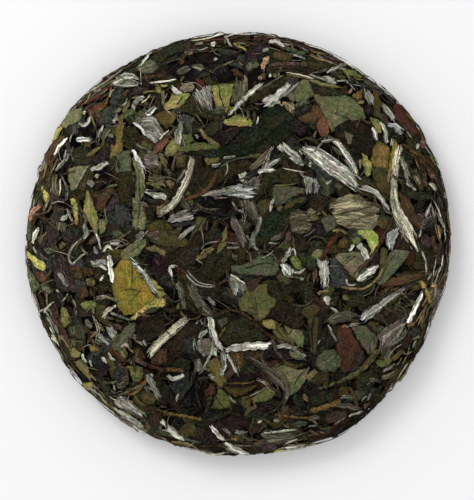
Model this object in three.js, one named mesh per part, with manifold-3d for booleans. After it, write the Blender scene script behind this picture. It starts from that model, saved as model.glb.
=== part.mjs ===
// White peony tea cake: a pressed disc of whole leaves, buds and stems.
// It has a domed face, a rounded rim, a flat foot and a shallow dimple under its middle.
// Millimetres, +Z up, the origin at the centre of the foot.

import * as THREE from 'three';
import { mergeVertices } from 'three/addons/utils/BufferGeometryUtils.js';
import Module from 'manifold-3d';

const wasm = await Module();
wasm.setup();

// Form of the whole cake
const CAKE_RADIUS = 100;
const CROWN_HEIGHT = 26;
const WIDEST_HEIGHT = 11;
const FACE_POWER = 5;
const FOOT_RADIUS = 86;
const DIMPLE_RADIUS = 25;
const DIMPLE_DEPTH = 6.5;

// Places where the outline swells or falls in: angle and spread in degrees, rise in millimetres
const OUTLINE_LOBES = [
  { angle: 28, spread: 18, rise: 1.8 },
  { angle: 140, spread: 15, rise: 1.2 },
  { angle: 221, spread: 18, rise: -0.8 },
  { angle: 299, spread: 9, rise: 2.2 },
  { angle: 339, spread: 8, rise: -1.8 },
];

// Pressed core under the leaves that show
const CORE_DEPTH = 1.2;
const CORE_ROUGHNESS = 0.35;
const CORE_SIDES = 40;
const CORE_FACE_RINGS = 6;
const CORE_RIM_RINGS = 4;
const CORE_DIMPLE_RINGS = 3;

// Leaves, buds and stems
const LEAF_THICKNESS = 2;
const ROD_ENDS_SUNK = 0.6;
const LEAF_CELLS_ALONG = 3;
const LEAF_CELLS_ACROSS = 2;
const BUD_SIDES = 6;
const STEM_SIDES = 5;
const BUD_TAPER = [0.5, 1, 0.9, 0.3];
const STEM_TAPER = [0.9, 1, 0.7];
const CORNER_GAP = 0.08;

// Counts and bands of the smaller pieces, as distances along the skin from the crown or the foot
const FACE_FILL = { count: 60, inner: 6, outer: 106 };
const RIM_FILL = { count: 42, inner: 104, outer: 120 };
const FOOT_FILL = { count: 24, inner: 30, outer: 82 };
const GOLDEN_ANGLE = Math.PI * (3 - Math.sqrt(5));
const SEED = 1213;

// A broad leaf under the foot that lies dead flat, and the depth of material cut off under it
const FOOT_PAD = { x: 55, y: 0, heading: 90, length: 30, width: 14 };
const FLOOR_CUT_DEPTH = 20;

const TEA = { colour: 0x4a4533, roughness: 0.75, metalness: 0 };

// Main pieces of the face, read off the real cake: place, heading in degrees, length, width, bend
const MAIN_LEAVES = [
  { x: -7, y: 46.5, heading: 5, length: 43, width: 10, bend: 2 },
  { x: 17.5, y: 55.5, heading: 67, length: 24, width: 13, bend: 1 },
  { x: 48, y: 63, heading: -27, length: 28, width: 13, bend: 1 },
  { x: 79, y: 59, heading: -58, length: 20, width: 8, bend: 2 },
  { x: 45, y: 35.5, heading: -38, length: 31, width: 9, bend: 2 },
  { x: 54.5, y: 16, heading: -9, length: 26, width: 14, bend: -1 },
  { x: 21, y: 11.5, heading: 41, length: 32, width: 8, bend: 2 },
  { x: -14, y: 16.5, heading: -4, length: 19, width: 10, bend: 1 },
  { x: -7, y: 30.5, heading: 33, length: 25, width: 9, bend: -2 },
  { x: -50, y: -20, heading: -78, length: 30, width: 17, bend: 2 },
  { x: -21, y: -25, heading: -56, length: 25, width: 7, bend: 3 },
  { x: 8.5, y: -27, heading: -93, length: 19, width: 14, bend: 0 },
  { x: 49.5, y: -48.5, heading: -82, length: 22, width: 9, bend: 1 },
  { x: 42.5, y: -54.5, heading: 5, length: 14, width: 10, bend: 0 },
  { x: 23, y: -62, heading: -30, length: 19, width: 10, bend: 1 },
  { x: 72.5, y: -11, heading: 47, length: 20, width: 8, bend: 1 },
  { x: -8, y: -73, heading: 31, length: 14, width: 8, bend: 0 },
  { x: -40, y: -40, heading: 34, length: 18, width: 10, bend: 1 },
  { x: -50, y: -84, heading: -35, length: 18, width: 7, bend: 1 },
  { x: -56, y: 66, heading: 55, length: 15, width: 8, bend: 1 },
  { x: -53, y: 30, heading: 90, length: 28, width: 7, bend: 1 },
  { x: -21, y: -75, heading: -38, length: 18, width: 10, bend: 1 },
  { x: 12, y: 72, heading: 32, length: 25, width: 7, bend: 1 },
  { x: -73, y: 40, heading: 17, length: 15, width: 7, bend: 1 },
];

const MAIN_BUDS = [
  { x: 4.5, y: -48.5, heading: 3, length: 24, width: 2.8, bend: 1 },
  { x: -10, y: -42, heading: -69, length: 17, width: 2.4, bend: 0 },
  { x: 39.5, y: -13.5, heading: -77, length: 14, width: 3.8, bend: 0 },
  { x: 75, y: 20, heading: -80, length: 44, width: 3.2, bend: 4 },
  { x: -33, y: -43.5, heading: 44, length: 27, width: 3, bend: 1 },
  { x: -29, y: 25, heading: -124, length: 29, width: 2.8, bend: -2 },
  { x: 3.5, y: 68, heading: 43, length: 23, width: 2.2, bend: 1 },
  { x: 18, y: 69.5, heading: 41, length: 17, width: 3, bend: 0 },
  { x: -59, y: -12, heading: -84, length: 14, width: 2.8, bend: 0 },
  { x: 68, y: -28, heading: 33, length: 26, width: 3, bend: 2 },
  { x: -30, y: -87.5, heading: -39, length: 14, width: 2.6, bend: 0 },
  { x: 48, y: 42, heading: -50, length: 22, width: 2.4, bend: 1 },
  { x: 10, y: 4.5, heading: -90, length: 19, width: 2.4, bend: -3 },
];

const MAIN_STEMS = [
  { x: 10, y: -42, heading: -23, length: 49, width: 1.8, bend: 3 },
  { x: 50, y: -60, heading: 32, length: 39, width: 2.2, bend: 3 },
  { x: -37, y: -57, heading: -15, length: 25, width: 2.2, bend: -2 },
  { x: 14, y: -62, heading: -52, length: 31, width: 2.2, bend: 3 },
  { x: 41, y: -76, heading: 20, length: 17, width: 2.6, bend: 0 },
  { x: -83, y: -41, heading: -60, length: 20, width: 2.2, bend: 1 },
  { x: 66, y: -1, heading: -118, length: 34, width: 1.8, bend: 3 },
  { x: 83, y: 41, heading: -40, length: 18, width: 2.2, bend: 1 },
];

function seededRandom(seed) {
  let state = seed >>> 0;
  return () => {
    state = (state + 0x6d2b79f5) >>> 0;
    let mixed = Math.imul(state ^ (state >>> 15), state | 1);
    mixed ^= mixed + Math.imul(mixed ^ (mixed >>> 7), mixed | 61);
    return ((mixed ^ (mixed >>> 14)) >>> 0) / 4294967296;
  };
}

const random = seededRandom(SEED);

function between(low, high) {
  return low + (high - low) * random();
}

// Half section of the cake, from the crown over the rim and the foot to the dimple's centre

function facePoint(part) {
  const turn = (Math.PI / 2) * Math.pow(part, FACE_POWER / 2);
  const radius = CAKE_RADIUS * Math.pow(Math.sin(turn), 2 / FACE_POWER);
  return new THREE.Vector2(radius, WIDEST_HEIGHT + (CROWN_HEIGHT - WIDEST_HEIGHT) * Math.cos(turn));
}

function rimPoint(part) {
  const turn = (Math.PI / 2) * part;
  const radius = FOOT_RADIUS + (CAKE_RADIUS - FOOT_RADIUS) * Math.cos(turn);
  return new THREE.Vector2(radius, WIDEST_HEIGHT * (1 - Math.sin(turn)));
}

function dimplePoint(part) {
  const height = DIMPLE_DEPTH * 0.5 * (1 - Math.cos(Math.PI * part));
  return new THREE.Vector2(DIMPLE_RADIUS * (1 - part), height);
}

function sampled(pointAt, steps) {
  return Array.from({ length: steps + 1 }, (_, step) => pointAt(step / steps));
}

function sectionPoints(faceRings, rimRings, dimpleRings) {
  return [
    ...sampled(facePoint, faceRings),
    ...sampled(rimPoint, rimRings).slice(1),
    ...sampled(dimplePoint, dimpleRings),
  ];
}

const SECTION = sectionPoints(160, 40, 40);
const SECTION_LENGTHS = SECTION.map(() => 0);
for (let index = 1; index < SECTION.length; index += 1) {
  const step = SECTION[index].distanceTo(SECTION[index - 1]);
  SECTION_LENGTHS[index] = SECTION_LENGTHS[index - 1] + step;
}
const SECTION_TOTAL = SECTION_LENGTHS[SECTION_LENGTHS.length - 1];

function sectionAt(distance) {
  const along = THREE.MathUtils.clamp(distance, 0, SECTION_TOTAL - 1e-6);
  const next = SECTION_LENGTHS.findIndex((length) => length > along);
  const start = SECTION[next - 1];
  const end = SECTION[next];
  const part = (along - SECTION_LENGTHS[next - 1]) / (SECTION_LENGTHS[next] - SECTION_LENGTHS[next - 1]);
  const direction = end.clone().sub(start).normalize();
  return {
    point: start.clone().lerp(end, part),
    outward: new THREE.Vector2(-direction.y, direction.x),
  };
}

function distanceAtRadius(radius) {
  const next = SECTION.findIndex((point) => point.x >= Math.min(radius, CAKE_RADIUS - 0.01));
  return SECTION_LENGTHS[Math.max(next, 0)];
}

function outlineScale(angle, radius) {
  const degrees = THREE.MathUtils.radToDeg(angle);
  const rise = OUTLINE_LOBES.reduce((sum, lobe) => {
    const away = THREE.MathUtils.euclideanModulo(degrees - lobe.angle + 180, 360) - 180;
    return sum + lobe.rise * Math.exp(-((away / lobe.spread) ** 2));
  }, 0);
  return 1 + (rise / CAKE_RADIUS) * Math.min(1, (radius / CAKE_RADIUS) ** 2);
}

// Two flat maps cover the skin: one spreads out from the crown, one from the dimple's centre.
// A point of a map is its distance along the skin and its bearing, and a height above the skin.

function onSkin(distance, angle, height) {
  const { point, outward } = sectionAt(distance);
  const radius = Math.max(0, point.x + outward.x * height) * outlineScale(angle, point.x);
  return new THREE.Vector3(radius * Math.cos(angle), radius * Math.sin(angle), point.y + outward.y * height);
}

function onFace(x, y, height) {
  return onSkin(Math.hypot(x, y), Math.atan2(y, x), height);
}

function onFoot(x, y, height) {
  return onSkin(SECTION_TOTAL - Math.hypot(x, y), -Math.atan2(y, x), height);
}

// Solids

function solidFrom(geometry) {
  geometry.deleteAttribute('normal');
  geometry.deleteAttribute('uv');
  const merged = mergeVertices(geometry, 1e-5);
  const index = merged.index.array;
  const kept = [];
  for (let corner = 0; corner < index.length; corner += 3) {
    const [a, b, c] = index.slice(corner, corner + 3);
    if (a !== b && b !== c && c !== a) kept.push(a, b, c);
  }
  const mesh = new wasm.Mesh({
    numProp: 3,
    vertProperties: new Float32Array(merged.attributes.position.array),
    triVerts: new Uint32Array(kept),
  });
  return new wasm.Manifold(mesh);
}

function moveCorners(geometry, place) {
  const corners = geometry.attributes.position;
  for (let index = 0; index < corners.count; index += 1) {
    const moved = place(corners.getX(index), corners.getY(index), corners.getZ(index));
    corners.setXYZ(index, moved.x, moved.y, moved.z);
  }
  return geometry;
}

function coreProfile() {
  const outline = sectionPoints(CORE_FACE_RINGS, CORE_RIM_RINGS, CORE_DIMPLE_RINGS);
  const lengths = outline.map(() => 0);
  for (let index = 1; index < outline.length; index += 1) {
    lengths[index] = lengths[index - 1] + outline[index].distanceTo(outline[index - 1]);
  }
  const total = lengths[lengths.length - 1];
  const sunk = lengths.map((length) => {
    const { point, outward } = sectionAt((length / total) * SECTION_TOTAL);
    return point.clone().addScaledVector(outward, -CORE_DEPTH);
  });
  sunk[0].x = 0;
  sunk[sunk.length - 1].x = 0;
  return sunk.reverse();
}

// Slow swells of the pressed core, none at its very middle so that each end of its axis stays a point
function unevenness(angle, radius) {
  const swell = Math.sin(7 * angle + 0.13 * radius) + Math.sin(11 * angle - 0.21 * radius + 2);
  return 0.5 * CORE_ROUGHNESS * swell * Math.min(1, radius / 20);
}

function coreSolid() {
  const lathe = new THREE.LatheGeometry(coreProfile(), CORE_SIDES);
  lathe.rotateX(Math.PI / 2);
  return solidFrom(
    moveCorners(lathe, (x, y, z) => {
      const angle = Math.atan2(y, x);
      const radius = Math.hypot(x, y);
      const scale = outlineScale(angle, radius) + (unevenness(angle, radius) * radius) / CAKE_RADIUS ** 2;
      return new THREE.Vector3(x * scale, y * scale, z + unevenness(angle + 1, radius));
    }),
  );
}

// A closed sheet of unit size: x runs along it, y across it, z is 0 on its face and -1 on its back
function sheetGeometry() {
  const face = new THREE.PlaneGeometry(1, 1, LEAF_CELLS_ALONG, LEAF_CELLS_ACROSS);
  const count = face.attributes.position.count;
  const corners = Array.from(face.attributes.position.array);
  const back = corners.map((value, index) => (index % 3 === 2 ? -1 : value));
  const faceIndex = Array.from(face.index.array);
  const index = [...faceIndex];
  for (let corner = 0; corner < faceIndex.length; corner += 3) {
    const [a, b, c] = faceIndex.slice(corner, corner + 3);
    index.push(c + count, b + count, a + count);
  }
  const rim = sheetRim();
  rim.forEach((here, step) => {
    const next = rim[(step + 1) % rim.length];
    index.push(here, next, next + count, here, next + count, here + count);
  });
  const sheet = new THREE.BufferGeometry();
  sheet.setAttribute('position', new THREE.Float32BufferAttribute([...corners, ...back], 3));
  sheet.setIndex(index);
  return sheet;
}

// Corner numbers round the edge of the sheet's face, clockwise from its top left
function sheetRim() {
  const columns = LEAF_CELLS_ALONG;
  const rows = LEAF_CELLS_ACROSS;
  const at = (column, row) => row * (columns + 1) + column;
  const rim = [];
  for (let column = 0; column < columns; column += 1) rim.push(at(column, 0));
  for (let row = 0; row < rows; row += 1) rim.push(at(columns, row));
  for (let column = columns; column > 0; column -= 1) rim.push(at(column, rows));
  for (let row = rows; row > 0; row -= 1) rim.push(at(0, row));
  return rim;
}

// Point of a bent centre line, moved sideways, in the map's own coordinates
function bentPoint(piece, along, sideways) {
  const heading = THREE.MathUtils.degToRad(piece.heading);
  const forward = along * piece.length;
  const aside = piece.bend * (0.5 - 2 * along * along) + sideways;
  return new THREE.Vector2(forward, aside).rotateAround(new THREE.Vector2(), heading).add(piece.centre);
}

function leafSolid(piece, onMap) {
  const { lift = 0, arch = 0.5, wave = 0.4, phase = 0 } = piece;
  const sheet = moveCorners(sheetGeometry(), (x, y, z) => {
    const fullness = Math.pow(Math.max(0, 1 - (2 * Math.abs(x + 0.06)) ** 2.4), 0.6);
    const width = piece.width * (0.22 + 0.78 * fullness);
    const place = bentPoint(piece, x, y * width);
    const crest = arch * (0.5 - 4 * y * y) + wave * Math.sin(5 * x + 3 * y + phase);
    return onMap(place.x, place.y, lift + crest + z * LEAF_THICKNESS);
  });
  return solidFrom(sheet);
}

function rodSolid(piece, onMap, sides, taper) {
  const profile = taper.map((size, step) => {
    return new THREE.Vector2(size / 2, (step + 0.5) / taper.length - 0.5);
  });
  const ends = [new THREE.Vector2(0, -0.5), ...profile, new THREE.Vector2(0, 0.5)];
  const lathe = new THREE.LatheGeometry(ends, sides);
  return solidFrom(
    moveCorners(lathe, (x, y, z) => {
      const place = bentPoint(piece, y, -x * piece.width);
      const sunk = ROD_ENDS_SUNK * (2 * y) ** 2;
      return onMap(place.x, place.y, piece.lift - sunk + z * piece.width);
    }),
  );
}

function budSolid(piece, onMap) {
  return rodSolid(piece, onMap, BUD_SIDES, BUD_TAPER);
}

function stemSolid(piece, onMap) {
  return rodSolid(piece, onMap, STEM_SIDES, STEM_TAPER);
}

// Pieces named on the face by the place where they are seen from above
function mainPieces() {
  const laid = (piece, lift) => {
    const radius = Math.hypot(piece.x, piece.y);
    const stretch = distanceAtRadius(radius) / radius;
    const centre = new THREE.Vector2(piece.x, piece.y).multiplyScalar(stretch);
    return { ...piece, centre, lift };
  };
  const leaves = MAIN_LEAVES.map((piece, order) => {
    return leafSolid({ ...laid(piece, 0.1), phase: order, arch: order % 3 ? 0.6 : -0.4 }, onFace);
  });
  const buds = MAIN_BUDS.map((piece) => budSolid(laid(piece, 0.15), onFace));
  const stems = MAIN_STEMS.map((piece) => stemSolid(laid(piece, 0.05), onFace));
  return [...leaves, ...buds, ...stems];
}

// Smaller pieces spread evenly over a band of a map, by turns of the golden angle
function fillBand(band, onMap, kindAt, headingAt) {
  return Array.from({ length: band.count }, (_, order) => {
    const part = (order + 0.5) / band.count;
    const distance = Math.sqrt(THREE.MathUtils.lerp(band.inner ** 2, band.outer ** 2, part));
    const angle = order * GOLDEN_ANGLE + between(-0.1, 0.1);
    const piece = {
      centre: new THREE.Vector2(distance * Math.cos(angle), distance * Math.sin(angle)),
      heading: headingAt(angle),
      bend: between(-2, 2),
      phase: between(0, 6),
    };
    return kindAt(order)(piece, onMap);
  });
}

function smallLeaf(piece, onMap) {
  const sizes = { length: between(16, 26), width: between(7, 11), lift: between(-0.2, 0.35) };
  return leafSolid({ ...piece, ...sizes, arch: between(-0.5, 0.6), wave: between(0.2, 0.5) }, onMap);
}

function smallBud(piece, onMap) {
  return budSolid({ ...piece, length: between(10, 18), width: between(2, 2.8), lift: 0.1 }, onMap);
}

function smallStem(piece, onMap) {
  return stemSolid({ ...piece, length: between(14, 24), width: between(1.8, 2.4), lift: 0.05 }, onMap);
}

function mixedKind(order) {
  if (order % 6 === 2) return smallBud;
  if (order % 6 === 4) return smallStem;
  return smallLeaf;
}

function anyHeading() {
  return between(0, 360);
}

function rimHeading(angle) {
  return THREE.MathUtils.radToDeg(angle) + 90 + between(-25, 25);
}

function footPadSolid() {
  const centre = new THREE.Vector2(FOOT_PAD.x, FOOT_PAD.y);
  return leafSolid({ ...FOOT_PAD, centre, bend: 0, lift: 0.8, arch: 0, wave: 0 }, onFoot);
}

function floorSolid() {
  const side = CAKE_RADIUS * 3;
  const slab = new THREE.BoxGeometry(side, side, FLOOR_CUT_DEPTH);
  slab.translate(0, 0, -FLOOR_CUT_DEPTH / 2);
  return solidFrom(slab);
}

// Corner numbers joined up by the triangles they share, each group under its lowest number
function shellOfCorners(triVerts, count) {
  const parent = Array.from({ length: count }, (_, index) => index);
  const rootOf = (index) => {
    let root = index;
    while (parent[root] !== root) root = parent[root];
    return root;
  };
  for (let corner = 0; corner < triVerts.length; corner += 3) {
    const roots = [0, 1, 2].map((step) => rootOf(triVerts[corner + step]));
    const lowest = Math.min(...roots);
    roots.forEach((root) => { parent[root] = lowest; });
    [0, 1, 2].forEach((step) => { parent[triVerts[corner + step]] = lowest; });
  }
  return parent.map((_, index) => rootOf(index));
}

// The outermost skin alone: loose scraps are dropped and hollows sealed between pieces are filled
function outerShell(solid) {
  const mesh = solid.getMesh();
  const shells = shellOfCorners(mesh.triVerts, mesh.vertProperties.length / mesh.numProp);
  const sizes = new Map();
  for (const corner of mesh.triVerts) {
    sizes.set(shells[corner], (sizes.get(shells[corner]) ?? 0) + 1);
  }
  const largest = [...sizes].reduce((best, entry) => (entry[1] > best[1] ? entry : best))[0];
  const kept = [];
  for (let corner = 0; corner < mesh.triVerts.length; corner += 3) {
    if (shells[mesh.triVerts[corner]] === largest) kept.push(...mesh.triVerts.slice(corner, corner + 3));
  }
  const geometry = new THREE.BufferGeometry();
  geometry.setAttribute('position', new THREE.BufferAttribute(mesh.vertProperties, mesh.numProp));
  geometry.setIndex(kept);
  return solidFrom(geometry);
}

function cakeSolid() {
  const pieces = [
    coreSolid(),
    ...mainPieces(),
    ...fillBand(FACE_FILL, onFace, mixedKind, anyHeading),
    ...fillBand(RIM_FILL, onFace, mixedKind, rimHeading),
    ...fillBand(FOOT_FILL, onFoot, mixedKind, anyHeading),
    footPadSolid(),
  ];
  const heap = pieces.reduce((whole, piece) => whole.add(piece));
  return outerShell(outerShell(heap.subtract(floorSolid())).simplify(CORNER_GAP));
}

function centredGeometry(solid) {
  const { numProp, vertProperties, triVerts } = solid.getMesh();
  const geometry = new THREE.BufferGeometry();
  geometry.setAttribute('position', new THREE.BufferAttribute(vertProperties, numProp));
  geometry.setIndex(new THREE.BufferAttribute(triVerts, 1));
  geometry.computeBoundingBox();
  const centre = geometry.boundingBox.getCenter(new THREE.Vector3());
  geometry.translate(-centre.x, -centre.y, -geometry.boundingBox.min.z);
  geometry.computeVertexNormals();
  return geometry;
}

const cake = new THREE.Mesh(
  centredGeometry(cakeSolid()),
  new THREE.MeshStandardMaterial({
    color: TEA.colour,
    roughness: TEA.roughness,
    metalness: TEA.metalness,
  }),
);
cake.name = 'tea_cake';

const teaCake = new THREE.Group();
teaCake.name = 'white_peony_tea_cake';
teaCake.add(cake);

export default teaCake;
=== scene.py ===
"""White peony tea cake: whole leaves, buds and stems laid over a pressed core, piece on piece."""

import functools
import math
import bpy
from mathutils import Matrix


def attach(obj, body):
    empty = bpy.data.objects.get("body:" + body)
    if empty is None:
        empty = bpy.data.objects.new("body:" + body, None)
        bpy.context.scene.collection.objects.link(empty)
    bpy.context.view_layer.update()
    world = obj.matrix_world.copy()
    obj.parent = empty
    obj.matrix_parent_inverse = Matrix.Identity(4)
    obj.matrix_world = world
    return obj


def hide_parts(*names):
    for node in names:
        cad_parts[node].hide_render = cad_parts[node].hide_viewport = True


bl_info = {
    "name": "White Peony Tea Cake",
    "version": (1, 0, 0),
    "blender": (4, 5, 0),
    "location": "3D View > Sidebar > Tea Cake",
    "description": "Lays leaves, buds and stems over the pressed core and gives each its finish",
    "category": "Object",
}

from dataclasses import dataclass

import bpy
import numpy as np
from bpy.props import FloatProperty, FloatVectorProperty, PointerProperty

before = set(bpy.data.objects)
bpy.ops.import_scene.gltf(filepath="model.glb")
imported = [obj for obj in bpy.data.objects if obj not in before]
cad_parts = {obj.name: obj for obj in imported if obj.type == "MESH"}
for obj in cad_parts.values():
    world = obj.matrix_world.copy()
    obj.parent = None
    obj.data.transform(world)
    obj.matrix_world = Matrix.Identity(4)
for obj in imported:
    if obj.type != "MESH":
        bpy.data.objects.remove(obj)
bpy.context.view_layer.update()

# Form of the whole cake in millimetres, the same as the frame's
CAKE_RADIUS = 100.0
CROWN_HEIGHT = 26.0
WIDEST_HEIGHT = 11.0
FACE_POWER = 5.0
FOOT_RADIUS = 86.0
DIMPLE_RADIUS = 25.0
DIMPLE_DEPTH = 6.5
OUTLINE_LOBES = ((28, 18, 1.8), (140, 15, 1.2), (221, 18, -0.8), (299, 9, 2.2), (339, 8, -1.8))

# Flat map of the skin, which the pieces are laid on in millimetres
SEED = 1207
MAP_REACH = 127.0
CELL = 0.45
TREND_SPREAD = 11.0

# Height under which the points draw together, so that none lies on the floor, in millimetres
FLOOR_PLAY = 0.1

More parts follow.
